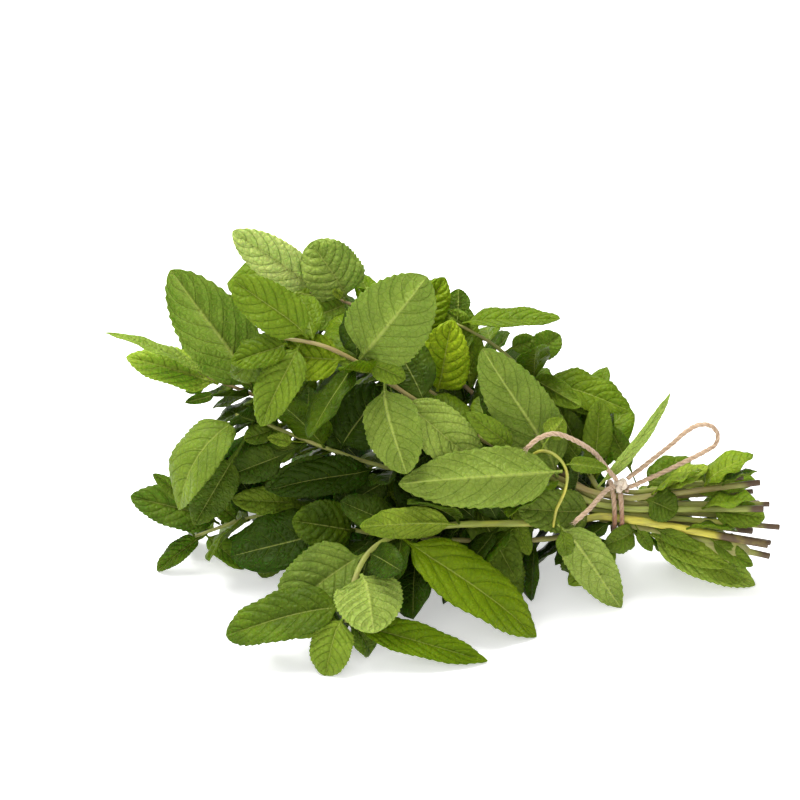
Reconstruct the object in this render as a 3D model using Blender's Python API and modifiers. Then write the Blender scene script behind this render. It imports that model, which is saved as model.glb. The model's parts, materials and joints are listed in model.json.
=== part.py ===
"""A fresh bunch of mint, tied near its cut ends with jute twine and lying on a table.

Metres, +Z up. The cut ends point along +X, the leafy tips along -X, and the front of the bunch is -Y.
Routes and reaches are written in millimetres, measured from the middle of the tie on the table's surface,
and every sprig grows out of a packed row of stems that the twine holds.
"""

import math

import bmesh
import bpy
import numpy as np
from mathutils import Matrix, Vector
from mathutils.bvhtree import BVHTree

MM = 0.001

# Overall sizes of the lying bunch, from which the sprigs' routes are scaled.
BUNCH_LENGTH = 0.280
BUNCH_DEPTH = 0.160
BUNCH_HEIGHT = 0.150
DRAWN_LENGTH = 0.280
DRAWN_DEPTH = 0.160
DRAWN_HEIGHT = 0.150

# Sizes of the single pieces.
STEM_DIAMETER = 0.0034
STEM_SPACING = 0.0015
SHOOT_DIAMETER = 0.0020
SHOOT_TIP_SHARE = 0.8
STEM_TIP_SHARE = 0.55
LEAF_SCALE = 1.0
LEAF_THICKNESS = 0.0008
LEAF_FOLD = 0.22
PETIOLE_WIDTH = 0.0016
LEAF_TIP_WIDTH = 0.0008
LEAF_LEAD = 0.12
LEAF_NEAR_SHARE = 0.14
LEAF_FAR_SHARE = 0.35
LEAF_TURN_BACK = 0.8
TWINE_DIAMETER = 0.0025
TWINE_TURNS = 2.25
TWINE_START_ANGLE = 20
TWINE_STEPS_A_TURN = 28
TWINE_STEP_DIAMETERS = 2.2
KNOT_DIAMETER = 0.0075
KNOT_ANGLE = 64
GAP = 0.0003
LEAST_GAP = 0.00015

# The tie's middle, and how the stems' line falls towards the cut ends.
TIE_HEIGHT = 0.038
TIE_FORWARD = -0.004
TIE_HALF_LENGTH = 0.008
TIE_SLOPE = -0.12
STEMS_IN_ROW = (3, 4, 3, 2)

STEM_STEP = 0.008
ROUTE_SHARES = 16
SWING_STEP = 5
SWING_MOST = 60
LAID_MOST = 80
LAID_TRIES = 24

LEAF_GREEN = (0.150, 0.290, 0.045)
STEM_GREEN = (0.330, 0.330, 0.090)
STEM_BROWN = (0.260, 0.150, 0.080)
TWINE_TAN = (0.560, 0.400, 0.260)

# Each stem: its row and place in the tie, its cut end, and the points it runs through to its leafy tip.
STEMS = {
    "high_front_stem": ((3, 0), (61, 0, 48), [
        (-22, -8, 52), (-46, -11, 67), (-70, -14, 82), (-91, -15, 97), (-108, -16, 110),
        (-125, -16, 119), (-140, -14, 121),
    ]),
    "upright_stem": ((3, 1), (55, 7, 47), [
        (-14, 8, 54), (-25, 16, 70), (-37, 22, 87), (-53, 26, 101), (-69, 28, 110),
    ]),
    "front_high_stem": ((2, 0), (62, -7, 39), [
        (-18, -10, 47), (-33, -15, 60), (-47, -19, 72), (-60, -22, 81),
    ]),
    "mid_top_stem": ((2, 1), (66, 1, 37), [
        (-24, 1, 49), (-50, 5, 64), (-75, 11, 82), (-98, 17, 96),
    ]),
    "top_back_stem": ((2, 2), (60, 9, 39), [
        (-25, 10, 49), (-55, 20, 74), (-85, 31, 99), (-110, 38, 113), (-132, 42, 119),
    ]),
    "front_stem": ((1, 0), (64, -13, 25), [
        (-24, -15, 37), (-48, -22, 40), (-72, -29, 43), (-92, -36, 43), (-104, -45, 41),
        (-110, -54, 36), (-113, -61, 28), (-115, -67, 19),
    ]),
    "middle_stem": ((1, 1), (70, -5, 29), [
        (-30, -5, 43), (-62, -5, 49), (-98, -2, 56), (-126, 2, 64), (-150, 6, 73), (-163, 7, 77),
    ]),
    "far_left_stem": ((1, 2), (62, 4, 29), [
        (-35, 5, 42), (-80, 15, 51), (-125, 25, 65), (-158, 28, 77), (-180, 30, 86),
    ]),
    "back_high_stem": ((1, 3), (64, 13, 31), [
        (-26, 17, 46), (-55, 36, 60), (-85, 52, 74), (-112, 60, 84),
    ]),
    "front_low_stem": ((0, 0), (66, -9, 17), [
        (-22, -11, 28), (-48, -14, 27), (-78, -17, 30), (-104, -20, 34), (-122, -19, 38),
    ]),
    "low_left_stem": ((0, 1), (68, 1, 18), [
        (-40, 0, 30), (-90, 6, 31), (-130, 11, 31), (-160, 14, 23), (-186, 14, 13),
    ]),
    "back_low_stem": ((0, 2), (61, 8, 20), [
        (-30, 15, 29), (-65, 32, 26), (-100, 46, 24), (-130, 54, 22),
    ]),
}

# A thin side shoot, from the face of the stem it grows out of, arching over and hanging down.
SHOOT = ("side_shoot", "front_high_stem", 0.60, [
    (-1, -4, 7), (4, -7, 11), (10, -11, 9), (13, -13, 3), (12, -14, -5), (9, -14, -13), (8, -14, -21),
])

# Each leaf: its stem, its place on it (0 at the tie, 1 at the leafy tip, -1 at the cut end), the way from
# its base to its tip, its width, where its upper side looks, how far its midrib arches, and whether
# its tip rests on the table. The leaves that show most come first, and the later ones make way for them.
LEAVES = [
    ("side_shoot", 0.50, (-67, -8, -2), 26, (0.1, 0.8, -0.6), -6, False),
    ("front_stem", 1.00, (57, 0, -15), 17, (0.1, -0.4, 0.9), 1, True),
    ("front_stem", 0.67, (56, -10, -41), 26, (0.3, -0.6, 0.7), 9, True),
    ("far_left_stem", 0.87, (-31, -22, 66), 31, (-0.1, 0.9, -0.4), -5, False),
    ("high_front_stem", 0.80, (27, 0, 36), 34, (-0.1, 0.9, -0.4), -7, False),
    ("front_high_stem", 0.42, (-36, 4, 56), 26, (0.1, 0.9, -0.3), -5, False),
    ("middle_stem", 0.99, (-25, -18, -34), 29, (-0.7, -0.6, 0.4), 12, False),
    ("front_stem", 0.96, (-48, -2, -12), 22, (0.0, -0.6, 0.8), 5, False),
    ("front_stem", 0.86, (6, -18, -18), 28, (0.1, 0.7, -0.7), -3, False),
    ("front_stem", 0.79, (-35, -9, -22), 29, (-0.3, -0.8, 0.6), 5, False),
    ("front_stem", 0.99, (-12, -16, -14), 18, (0.0, -0.7, 0.7), 3, True),
    ("high_front_stem", 0.71, (9, -22, -30), 24, (0.1, 0.9, -0.1), -5, False),
    ("high_front_stem", 0.66, (34, -9, -34), 22, (0.3, -0.8, 0.3), 5, False),
    ("high_front_stem", 0.94, (-30, 6, 23), 20, (-0.3, -0.8, 0.5), 3, False),
    ("high_front_stem", 0.96, (-16, -14, -30), 19, (-0.4, -0.9, 0.2), 3, False),
    ("top_back_stem", 0.99, (-33, -8, 30), 19, (-0.2, -0.8, 0.5), 0, False),
    ("top_back_stem", 0.90, (-16, 6, 24), 26, (0.1, -0.9, 0.5), 3, False),
    ("upright_stem", 0.98, (41, -10, 6), 17, (-0.2, -0.1, 1.0), 0, False),
    ("upright_stem", 0.58, (38, -14, -6), 21, (0.1, -0.4, 0.9), 2, False),
    ("side_shoot", 0.97, (26, 6, -46), 19, (-0.3, 0.9, 0.2), -4, True),
    ("low_left_stem", 0.92, (-38, -3, 15), 20, (0.2, -0.8, 0.7), 4, False),
    ("low_left_stem", 0.97, (-22, -6, -10), 12, (-0.1, -0.4, 0.9), 2, True),
    ("low_left_stem", 0.72, (-8, -22, -14), 24, (-0.3, -0.9, 0.3), 3, False),
    ("middle_stem", 0.72, (20, 8, 26), 27, (-0.3, -0.8, 0.4), 3, False),
    ("middle_stem", 0.62, (-44, -8, -6), 18, (0.0, -0.7, 0.8), 7, False),
    ("mid_top_stem", 0.80, (6, 0, 33), 23, (-0.1, -0.9, 0.3), 4, False),
    ("front_low_stem", 0.48, (16, -16, -18), 24, (0.2, -0.8, 0.5), 4, True),
    ("high_front_stem", 0.05, (28, -3, 44), 13, (0.7, -0.7, 0.0), 3, False),
    ("front_low_stem", -0.18, (50, 0, -22), 18, (0.0, -0.7, 0.8), 3, True),
    ("front_high_stem", 0.12, (-32, -10, 5), 19, (0.0, -0.9, 0.4), 4, False),
    ("front_low_stem", 0.13, (18, -14, -10), 24, (0.1, -0.9, 0.4), 3, True),
    ("far_left_stem", 0.98, (-43, 0, 20), 15, (0.2, 0.1, 1.0), 3, False),
    ("far_left_stem", 0.95, (-40, -4, 12), 21, (-0.1, -0.5, 0.9), 4, False),
    ("high_front_stem", 0.83, (-29, 10, -3), 20, (0.0, -0.8, 0.5), 4, False),
    ("high_front_stem", 0.99, (-22, 0, -10), 15, (-0.3, -0.8, 0.5), 3, False),
    ("top_back_stem", 0.70, (14, 6, 24), 18, (0.2, -0.8, 0.6), 3, False),
    ("front_low_stem", 0.92, (-26, -6, 8), 22, (-0.2, -0.8, 0.6), 4, False),
    ("back_high_stem", 0.96, (-34, 18, 26), 26, (-0.2, 0.7, 0.7), 5, False),
    ("back_high_stem", 0.60, (20, 22, 24), 25, (0.1, 0.7, 0.7), 5, False),
    ("back_low_stem", 0.96, (-44, 14, -14), 26, (-0.2, 0.5, 0.9), 5, True),
    ("back_low_stem", 0.62, (18, 34, -16), 26, (0.1, 0.7, 0.7), 6, True),
    ("back_low_stem", -0.20, (34, 12, -14), 19, (0.0, 0.6, 0.8), 4, True),
]

# The blade's outline: the share of the leaf's length, and the half width there as a share of the widest.
OUTLINE = (
    (0.00, 0.00), (0.09, 0.00), (0.13, 0.40), (0.22, 0.80), (0.36, 1.00), (0.52, 0.98),
    (0.68, 0.80), (0.82, 0.52), (0.93, 0.22), (1.00, 0.00),
)

# The twine's free ends, from the middle of the knot.
TAIL_LONG = [(-3, -2, 5), (-6, -3, 9), (-12, -6, 18), (-20, -9, 25), (-29, -12, 30), (-36, -14, 29), (-41, -15, 25)]
TAIL_SHORT = [(-4, -4, 1), (-7, -9, 2), (-11, -15, 1), (-15, -20, -1), (-21, -25, -4)]
LOOP = [
    (4, 2, 3), (9, 4, 6), (15, 5, 11), (21.5, 5, 17), (26.5, 5, 22.2), (32, 5, 25.8), (37.2, 5, 25.4),
    (40.3, 5, 21.7), (39.8, 5, 16.8), (35.8, 5, 13.6), (28, 4, 9.5), (19, 3, 5), (10, 2, 1), (5, 1, -1),
]


def clear_scene():
    for thing in list(bpy.data.objects):
        bpy.data.objects.remove(thing)


def new_collection(name):
    group = bpy.data.collections.new(name)
    bpy.context.scene.collection.children.link(group)
    return group


def principled(name, colour, roughness):
    material = bpy.data.materials.new(name)
    material.use_nodes = True
    shader = material.node_tree.nodes["Principled BSDF"]
    shader.inputs["Base Color"].default_value = (*colour, 1.0)
    shader.inputs["Roughness"].default_value = roughness
    shader.inputs["Metallic"].default_value = 0.0
    return material


def scaled(point):
    """A route's point in metres, stretched with the bunch's overall sizes."""
    stretch = (BUNCH_LENGTH / DRAWN_LENGTH, BUNCH_DEPTH / DRAWN_DEPTH, BUNCH_HEIGHT / DRAWN_HEIGHT)
    return np.array(point) * MM * stretch


def smooth_route(points, step):
    """Evenly spaced points on a smooth curve through the route's own points."""
    points = [np.asarray(point, float) for point in points]
    padded = [2 * points[0] - points[1], *points, 2 * points[-1] - points[-2]]
    fine = []
    for before, start, end, after in zip(padded, padded[1:], padded[2:], padded[3:]):
        for share in np.linspace(0, 1, ROUTE_SHARES, endpoint=False):
            fine.append(0.5 * (
                2 * start
                + (end - before) * share
                + (2 * before - 5 * start + 4 * end - after) * share**2
                + (3 * start - before - 3 * end + after) * share**3
            ))
    fine = np.array([*fine, points[-1]])
    along = np.concatenate([[0], np.cumsum(np.linalg.norm(np.diff(fine, axis=0), axis=1))])
    even = np.linspace(0, along[-1], max(2, round(along[-1] / step)) + 1)
    return np.stack([np.interp(even, along, fine[:, axis]) for axis in range(3)], axis=1)


def tube(name, points, radii, material, group, resolution):
    """A closed tube along the points, standing at its first one."""
    curve = bpy.data.curves.new(name, "CURVE")
    curve.dimensions = "3D"
    curve.bevel_depth = max(radii)
    curve.bevel_resolution = resolution
    curve.use_fill_caps = True
    spline = curve.splines.new("POLY")
    spline.points.add(len(points) - 1)
    for knot, point, radius in zip(spline.points, points, radii):
        knot.co = (*(point - points[0]), 1.0)
        knot.radius = radius / max(radii)
    spline.use_smooth = True
    curve.materials.append(material)
    thing = bpy.data.objects.new(name, curve)
    thing.location = points[0]
    group.objects.link(thing)
    return thing


def stem_pitch():
    return STEM_DIAMETER + STEM_SPACING


def tie_middle():
    return scaled((0, TIE_FORWARD / MM, TIE_HEIGHT / MM))


def tie_place(row, column, along):
    """Where a stem runs at this distance along the tie: rows of stems packed like cells."""
    across = (column - (STEMS_IN_ROW[row] - 1) / 2) * stem_pitch()
    middle_row = sum(index * count for index, count in enumerate(STEMS_IN_ROW)) / sum(STEMS_IN_ROW)
    up = (row - middle_row) * stem_pitch() * math.sqrt(3) / 2
    return tie_middle() + (along, across, up + along * TIE_SLOPE)


def tie_radius():
    """The radius of the circle round all the packed stems."""
    reach = 0
    for row, count in enumerate(STEMS_IN_ROW):
        for column in range(count):
            offset = tie_place(row, column, 0) - tie_middle()
            reach = max(reach, math.hypot(offset[1], offset[2]))
    return reach + STEM_DIAMETER / 2


class Stem:
    """A stem's middle line from its cut end to its leafy tip, with its radius along it."""

    def __init__(self, points, radii, tie_index):
        self.points = points
        self.radii = radii
        self.tie_index = tie_index

    def at(self, place):
        """The middle, the direction and the radius at a place, 0 at the tie, 1 at the tip and -1 at the cut end."""
        if place >= 0:
            index = self.tie_index + place * (len(self.points) - 1 - self.tie_index)
        else:
            index = self.tie_index * (1 + place)
        low = min(int(index), len(self.points) - 2)
        share = index - low
        middle = self.points[low] * (1 - share) + self.points[low + 1] * share
        direction = self.points[low + 1] - self.points[low]
        radius = self.radii[low] * (1 - share) + self.radii[low + 1] * share
        return Vector(middle), Vector(direction).normalized(), radius


def build_stems(material, group):
    stems = {}
    for name, ((row, column), cut_end, route) in STEMS.items():
        half = TIE_HALF_LENGTH
        through = [tie_place(row, column, along) for along in (half, 0, -half)]
        points = smooth_route([scaled(cut_end), *through, *map(scaled, route)], STEM_STEP)
        tie_index = int(np.argmin(np.linalg.norm(points - through[1], axis=1)))
        past = np.clip(np.arange(len(points)) - tie_index, 0, None) / (len(points) - 1 - tie_index)
        radii = STEM_DIAMETER / 2 * (1 - (1 - STEM_TIP_SHARE) * past)
        tube(name, points, radii, material, group, 0)
        stems[name] = Stem(points, radii, tie_index)
    return stems


def build_shoot(stems, material, group):
    name, mother, place, route = SHOOT
    middle, direction, radius = stems[mother].at(place)
    first = Vector(scaled(route[0]))
    out = (first - first.project(direction)).normalized()
    start = middle + out * (radius + SHOOT_DIAMETER / 2 + GAP)
    points = smooth_route([start, *(np.array(middle) + scaled(point) for point in route)], STEM_STEP / 2)
    radii = SHOOT_DIAMETER / 2 * np.linspace(1, SHOOT_TIP_SHARE, len(points))
    tube(name, points, radii, material, group, 0)
    stems[name] = Stem(points, radii, 0)


def knot_middle():
    """In front of the top of the tie, clear of the wound twine."""
    reach = tie_radius() + TWINE_DIAMETER + 2 * GAP + KNOT_DIAMETER / 2
    angle = math.radians(KNOT_ANGLE)
    return tie_middle() + (0, -reach * math.cos(angle), reach * math.sin(angle))


def build_twine(material, group):
    """The wound binding, the knot on it, and the bow's one loop and two loose ends."""
    radius = tie_radius() + GAP + TWINE_DIAMETER / 2
    steps = round(TWINE_STEPS_A_TURN * TWINE_TURNS)
    turns = np.linspace(0, TWINE_TURNS, steps + 1)
    along = (turns - TWINE_TURNS / 2) * (TWINE_DIAMETER + 2 * GAP)
    angles = math.radians(TWINE_START_ANGLE) + turns * 2 * math.pi
    ring = np.stack([along, radius * np.cos(angles), radius * np.sin(angles) + along * TIE_SLOPE], axis=1)
    binding = tie_middle() + ring
    tube("twine_binding", binding, [TWINE_DIAMETER / 2] * len(binding), material, group, 2)
    shape = bmesh.new()
    bmesh.ops.create_uvsphere(shape, u_segments=12, v_segments=8, radius=KNOT_DIAMETER / 2)
    for face in shape.faces:
        face.smooth = True
    data = bpy.data.meshes.new("twine_knot")
    shape.to_mesh(data)
    shape.free()
    data.materials.append(material)
    knot = bpy.data.objects.new("twine_knot", data)
    knot.location = knot_middle()
    group.objects.link(knot)
    clear = KNOT_DIAMETER / 2 + GAP
    for name, route in (
        ("twine_tail_long", TAIL_LONG),
        ("twine_tail_short", TAIL_SHORT),
        ("twine_loop", LOOP),
    ):
        ends = [np.array(point) * MM for point in route]
        foot = ends[0] / np.linalg.norm(ends[0])
        ends[0:1] = [foot * clear, foot * (clear + TWINE_DIAMETER / 2)]
        if name == "twine_loop":
            foot = ends[-1] / np.linalg.norm(ends[-1])
            ends[-1:] = [foot * (clear + TWINE_DIAMETER / 2), foot * clear]
        points = knot_middle() + smooth_route(ends, TWINE_STEP_DIAMETERS * TWINE_DIAMETER)
        tube(name, points, [TWINE_DIAMETER / 2] * len(points), material, group, 2)


def leaf_surface(base, lead, reach, width, face, arch):
    """The leaf's middle surface, a row of three points at each place of its outline, and its normals."""
    length = reach.length
    chord = reach.normalized()
    upper = (face - face.project(chord)).normalized()
    tip = base + reach
    near = base + lead * LEAF_LEAD * length + chord * LEAF_NEAR_SHARE * length + upper * arch
    far = tip - chord * LEAF_FAR_SHARE * length + upper * arch
    rows = []
    normals = []
    for share, half in OUTLINE:
        rest = 1 - share
        middle = base * rest**3 + near * 3 * share * rest**2 + far * 3 * share**2 * rest + tip * share**3
        slope = (
            (near - base) * rest**2 + (far - near) * 2 * share * rest + (tip - far) * share**2
        ).normalized()
        side = slope.cross(upper).normalized()
        normal = side.cross(slope)
        least = (PETIOLE_WIDTH if share < 0.5 else LEAF_TIP_WIDTH) / 2
        reach_out = max(half * width / 2, least)
        lift = normal * LEAF_FOLD * reach_out
        rows.append([middle - side * reach_out + lift, middle, middle + side * reach_out + lift])
        normals.append([normal - side * LEAF_FOLD, normal, normal + side * LEAF_FOLD])
        normals[-1] = [direction.normalized() for direction in normals[-1]]
    return rows, normals


def skin_of(rows, normals, half_thickness):
    """The closed skin round a leaf's middle surface, as points and faces, for the clearance test."""
    across = len(rows[0])
    top = [p + n * half_thickness for row, ns in zip(rows, normals) for p, n in zip(row, ns)]
    low = [p - n * half_thickness for row, ns in zip(rows, normals) for p, n in zip(row, ns)]
    count = len(top)
    faces = []
    for row in range(len(rows) - 1):
        for column in range(across - 1):
            corner = row * across + column
            quad = (corner, corner + 1, corner + across + 1, corner + across)
            faces.append(quad)
            faces.append(tuple(index + count for index in reversed(quad)))
        for column in (0, across - 1):
            corner = row * across + column
            faces.append((corner, corner + across, corner + across + count, corner + count))
    for row in (0, len(rows) - 1):
        for column in range(across - 1):
            corner = row * across + column
            faces.append((corner, corner + 1, corner + 1 + count, corner + count))
    return top + low, faces


class Placed:
    """The pieces that already stand, as search trees with their boxes."""

    def __init__(self):
        self.trees = []

    def add(self, points, faces):
        low = np.min(points, axis=0)
        high = np.max(points, axis=0)
        self.trees.append((low, high, BVHTree.FromPolygons(points, faces)))

    def add_object(self, thing, graph):
        shape = thing.evaluated_get(graph).to_mesh()
        points = [thing.matrix_world @ corner.co for corner in shape.vertices]
        self.add(points, [tuple(face.vertices) for face in shape.polygons])

    def meets(self, points, faces):
        low = np.min(points, axis=0)
        high = np.max(points, axis=0)
        tree = None
        for other_low, other_high, other in self.trees:
            if (low > other_high).any() or (high < other_low).any():
                continue
            tree = tree or BVHTree.FromPolygons(points, faces)
            if tree.overlap(other):
                return True
        return False


def swings():
    """Small turns to try, nearest first: degrees up or down, degrees to either side, degrees of roll."""
    yield 0, 0, 0
    for size in range(SWING_STEP, SWING_MOST + 1, SWING_STEP):
        for roll in (0, size, -size):
            for turn in range(8):
                angle = math.radians(45 * turn)
                yield size * math.cos(angle), size * math.sin(angle), roll


def swung(reach, face, pitch, yaw, roll):
    chord = reach.normalized()
    upper = (face - face.project(chord)).normalized()
    turn = Matrix.Rotation(math.radians(pitch), 3, chord.cross(upper)) @ Matrix.Rotation(
        math.radians(yaw), 3, upper
    )
    reach = turn @ reach
    return reach, Matrix.Rotation(math.radians(roll), 3, reach.normalized()) @ (turn @ upper)


def lowest(rows, normals):
    return min(p.z - abs(n.z) * LEAF_THICKNESS / 2 for row, ns in zip(rows, normals) for p, n in zip(row, ns))


def laid_down(base, lead, reach, width, face, arch):
    """The reach and face turned up or down until the leaf's lowest point is on the table."""
    level = Vector((0, 0, 1)).cross(reach).normalized()
    low, high = -LAID_MOST, LAID_MOST
    for _ in range(LAID_TRIES):
        angle = (low + high) / 2
        turn = Matrix.Rotation(math.radians(angle), 3, level)
        if lowest(*leaf_surface(base, lead, turn @ reach, width, turn @ face, arch)) > 0:
            low = angle
        else:
            high = angle
    turn = Matrix.Rotation(math.radians((low + high) / 2), 3, level)
    return turn @ reach, turn @ face


def settle(stem, place, reach, width, face, arch, rests, placed):
    """The first way of holding this leaf, nearest to the wanted one, that meets nothing already there."""
    middle, along, radius = stem.at(place)
    for pitch, yaw, roll in swings():
        new_reach, new_face = swung(reach, face, pitch, yaw, roll)
        sideways = new_reach - new_reach.project(along) * LEAF_TURN_BACK
        lead = sideways.normalized()
        out = (new_reach - new_reach.project(along)).normalized()
        base = middle + out * (radius + GAP + PETIOLE_WIDTH / 4)
        if rests:
            new_reach, new_face = laid_down(base, lead, new_reach, width, new_face, arch)
        rows, normals = leaf_surface(base, lead, new_reach, width, new_face, arch)
        if not rests and lowest(rows, normals) < GAP:
            continue
        points, faces = skin_of(rows, normals, LEAF_THICKNESS / 2 + LEAST_GAP)
        if not placed.meets(points, faces):
            return base, rows, normals
    raise ValueError(f"no free way to hold the leaf at {place}")


def leaf_object(name, base, rows, material, group):
    """The leaf's middle surface as a grid, thickened by Solidify, standing at the foot of its petiole."""
    shape = bmesh.new()
    bmesh.ops.create_grid(shape, x_segments=2, y_segments=len(rows) - 1, size=1)
    shape.verts.ensure_lookup_table()
    corners = sorted(shape.verts, key=lambda corner: (round(corner.co.y, 4), corner.co.x))
    for corner, point in zip(corners, [point for row in rows for point in row]):
        corner.co = point - base
    for face in shape.faces:
        face.smooth = True
    data = bpy.data.meshes.new(name)
    shape.to_mesh(data)
    shape.free()
    data.materials.append(material)
    thing = bpy.data.objects.new(name, data)
    thing.location = base
    thickness = thing.modifiers.new("thickness", "SOLIDIFY")
    thickness.thickness = LEAF_THICKNESS
    thickness.offset = 0
    group.objects.link(thing)
    return thing


def build_leaves(stems, placed, material, group):
    numbers = {}
    for stem, place, reach, width, face, arch, rests in LEAVES:
        numbers[stem] = numbers.get(stem, 0) + 1
        name = f"{stem.removesuffix('_stem')}_leaf_{numbers[stem]}"
        base, rows, normals = settle(
            stems[stem],
            place,
            Vector(reach) * MM * LEAF_SCALE,
            width * MM * LEAF_SCALE,
            Vector(face),
            arch * MM * LEAF_SCALE,
            rests,
            placed,
        )
        leaf_object(name, base, rows, material, group)
        placed.add(*skin_of(rows, normals, LEAF_THICKNESS / 2))


def stand_on_origin(group):
    """Hangs every piece on one empty and moves it so that the bunch's box stands centred on the origin."""
    bpy.context.view_layer.update()
    graph = bpy.context.evaluated_depsgraph_get()
    corners = []
    for thing in group.objects:
        if thing.name in ("twine_tail_long", "twine_tail_short", "twine_loop"):
            continue
        shape = thing.evaluated_get(graph).to_mesh()
        corners += [thing.matrix_world @ corner.co for corner in shape.vertices]
    low = np.min(corners, axis=0)
    high = np.max(corners, axis=0)
    holder = bpy.data.objects.new("mint_bunch", None)
    holder.location = (-(low[0] + high[0]) / 2, -(low[1] + high[1]) / 2, -low[2])
    for thing in list(group.objects):
        thing.parent = holder
    group.objects.link(holder)


def main():
    clear_scene()
    group = new_collection("mint_bunch")
    leaf_green = principled("leaf_green", LEAF_GREEN, 0.5)
    stem_green = principled("stem_green", STEM_GREEN, 0.45)
    twine_tan = principled("twine_tan", TWINE_TAN, 0.9)
    stems = build_stems(stem_green, group)
    build_shoot(stems, stem_green, group)
    build_twine(twine_tan, group)
    bpy.context.view_layer.update()
    graph = bpy.context.evaluated_depsgraph_get()
    placed = Placed()
    for thing in group.objects:
        placed.add_object(thing, graph)
    build_leaves(stems, placed, leaf_green, group)
    stand_on_origin(group)


main()
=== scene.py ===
"""The looks of a fresh bunch of mint, tied near its cut ends with jute twine and lying on a table.

Metres, +Z up, in the same frame as the plain solids: the cut ends point along +X, the leafy tips along -X,
and the front of the bunch is -Y. Small sizes are written in millimetres and turned into metres by MM.
"""

import json
import math
import random

import bmesh
import bpy
import numpy as np
from mathutils import Matrix, Vector
from mathutils.bvhtree import BVHTree

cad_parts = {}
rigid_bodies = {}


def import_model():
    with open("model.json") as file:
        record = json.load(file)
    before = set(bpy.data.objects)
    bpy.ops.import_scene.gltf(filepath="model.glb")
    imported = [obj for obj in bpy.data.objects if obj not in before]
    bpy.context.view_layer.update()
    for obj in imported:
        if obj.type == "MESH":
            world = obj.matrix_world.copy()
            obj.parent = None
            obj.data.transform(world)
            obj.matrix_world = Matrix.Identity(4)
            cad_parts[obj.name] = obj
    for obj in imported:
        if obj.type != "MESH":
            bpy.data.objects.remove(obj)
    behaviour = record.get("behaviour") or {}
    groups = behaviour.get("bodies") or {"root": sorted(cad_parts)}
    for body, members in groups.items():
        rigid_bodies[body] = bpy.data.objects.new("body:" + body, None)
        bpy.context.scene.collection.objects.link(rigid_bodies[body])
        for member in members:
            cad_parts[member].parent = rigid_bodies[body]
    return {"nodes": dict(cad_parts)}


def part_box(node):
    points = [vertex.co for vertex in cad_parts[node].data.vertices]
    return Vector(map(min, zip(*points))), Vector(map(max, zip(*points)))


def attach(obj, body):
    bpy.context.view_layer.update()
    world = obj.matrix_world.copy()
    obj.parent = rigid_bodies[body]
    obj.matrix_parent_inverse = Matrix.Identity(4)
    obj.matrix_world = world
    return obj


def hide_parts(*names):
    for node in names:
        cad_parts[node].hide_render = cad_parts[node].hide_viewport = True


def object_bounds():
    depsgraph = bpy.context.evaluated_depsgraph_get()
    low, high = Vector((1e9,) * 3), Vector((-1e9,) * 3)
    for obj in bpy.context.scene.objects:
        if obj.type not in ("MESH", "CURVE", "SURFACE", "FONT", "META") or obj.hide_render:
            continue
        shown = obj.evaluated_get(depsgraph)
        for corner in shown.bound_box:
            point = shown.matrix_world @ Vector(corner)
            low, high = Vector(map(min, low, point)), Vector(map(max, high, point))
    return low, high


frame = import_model()
cad_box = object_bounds()
NODES = frame["nodes"]

MM = 0.001
UP = Vector((0, 0, 1))

# The camera: where it looks, how far off and how high it stands.
LOOK_AT = Vector((-0.0184, -0.0014, 0.0871))
CAMERA_DISTANCE = 0.84
CAMERA_ELEVATION = 25
CAMERA_LENS = 90

# The table is a white sheet that is lit a little from below.
TABLE_GLOW = 0.42

# Twine.
TWINE_DIAMETER = 0.0025
TWINE_GAP = 0.0003
TWINE_TURNS = 2.25
TWINE_START_ANGLE = 20
TWINE_SLOPE = -0.12
TWINE_PITCH = 0.009
TWINE_STEP = 0.0005

# The free ends' routes, in metres from the middle of the knot.
TAIL_LONG = [
    (-0.003, -0.002, 0.005), (-0.006, -0.003, 0.009), (-0.012, -0.006, 0.018), (-0.020, -0.009, 0.025),
    (-0.029, -0.012, 0.030), (-0.036, -0.014, 0.029), (-0.041, -0.015, 0.025),
]
TAIL_SHORT = [
    (-0.004, -0.004, 0.001), (-0.007, -0.009, 0.002), (-0.011, -0.015, 0.001), (-0.015, -0.020, -0.001),
    (-0.021, -0.025, -0.004),
]
LOOP = [
    (0.004, 0.002, 0.003), (0.009, 0.004, 0.006), (0.015, 0.005, 0.011), (0.0215, 0.005, 0.017),
    (0.0265, 0.005, 0.0222), (0.032, 0.005, 0.0258), (0.0372, 0.005, 0.0254), (0.0403, 0.005, 0.0217),
    (0.0398, 0.005, 0.0168), (0.0358, 0.005, 0.0136), (0.028, 0.004, 0.0095), (0.019, 0.003, 0.005),
    (0.010, 0.002, 0.001), (0.005, 0.001, -0.001),
]

# A blade of mint: the share of its length, and the half width there as a share of the widest.
OUTLINE = (
    (0.00, 0.055), (0.06, 0.055), (0.085, 0.13), (0.11, 0.38), (0.15, 0.62), (0.22, 0.85), (0.32, 0.98),
    (0.43, 1.0), (0.54, 0.97), (0.65, 0.89), (0.75, 0.76), (0.84, 0.57), (0.91, 0.37), (0.96, 0.19),
    (0.985, 0.09), (1.0, 0.02),
)

# What a fully rounded tip adds to the half width.
ROUND_TIP = (
    (0.45, 0.0), (0.65, 0.05), (0.75, 0.09), (0.84, 0.15), (0.91, 0.20), (0.96, 0.19), (0.985, 0.13),
    (1.0, 0.0),
)

# The blade's stalk, teeth, side veins, thickness, cushions between the veins, and fold along its midrib.
PETIOLE_SHARE = 0.085
TEETH = 17
TOOTH_DEPTH = 0.055
VEINS = 7.5
VEIN_START = 0.06
VEIN_RISE = 0.13
VEIN_BEND = 0.17
BLADE_THICKNESS = 0.0010
QUILT_HEIGHT = 0.00072
FULL_WIDTH = 0.025
FOLD = 0.22

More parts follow.
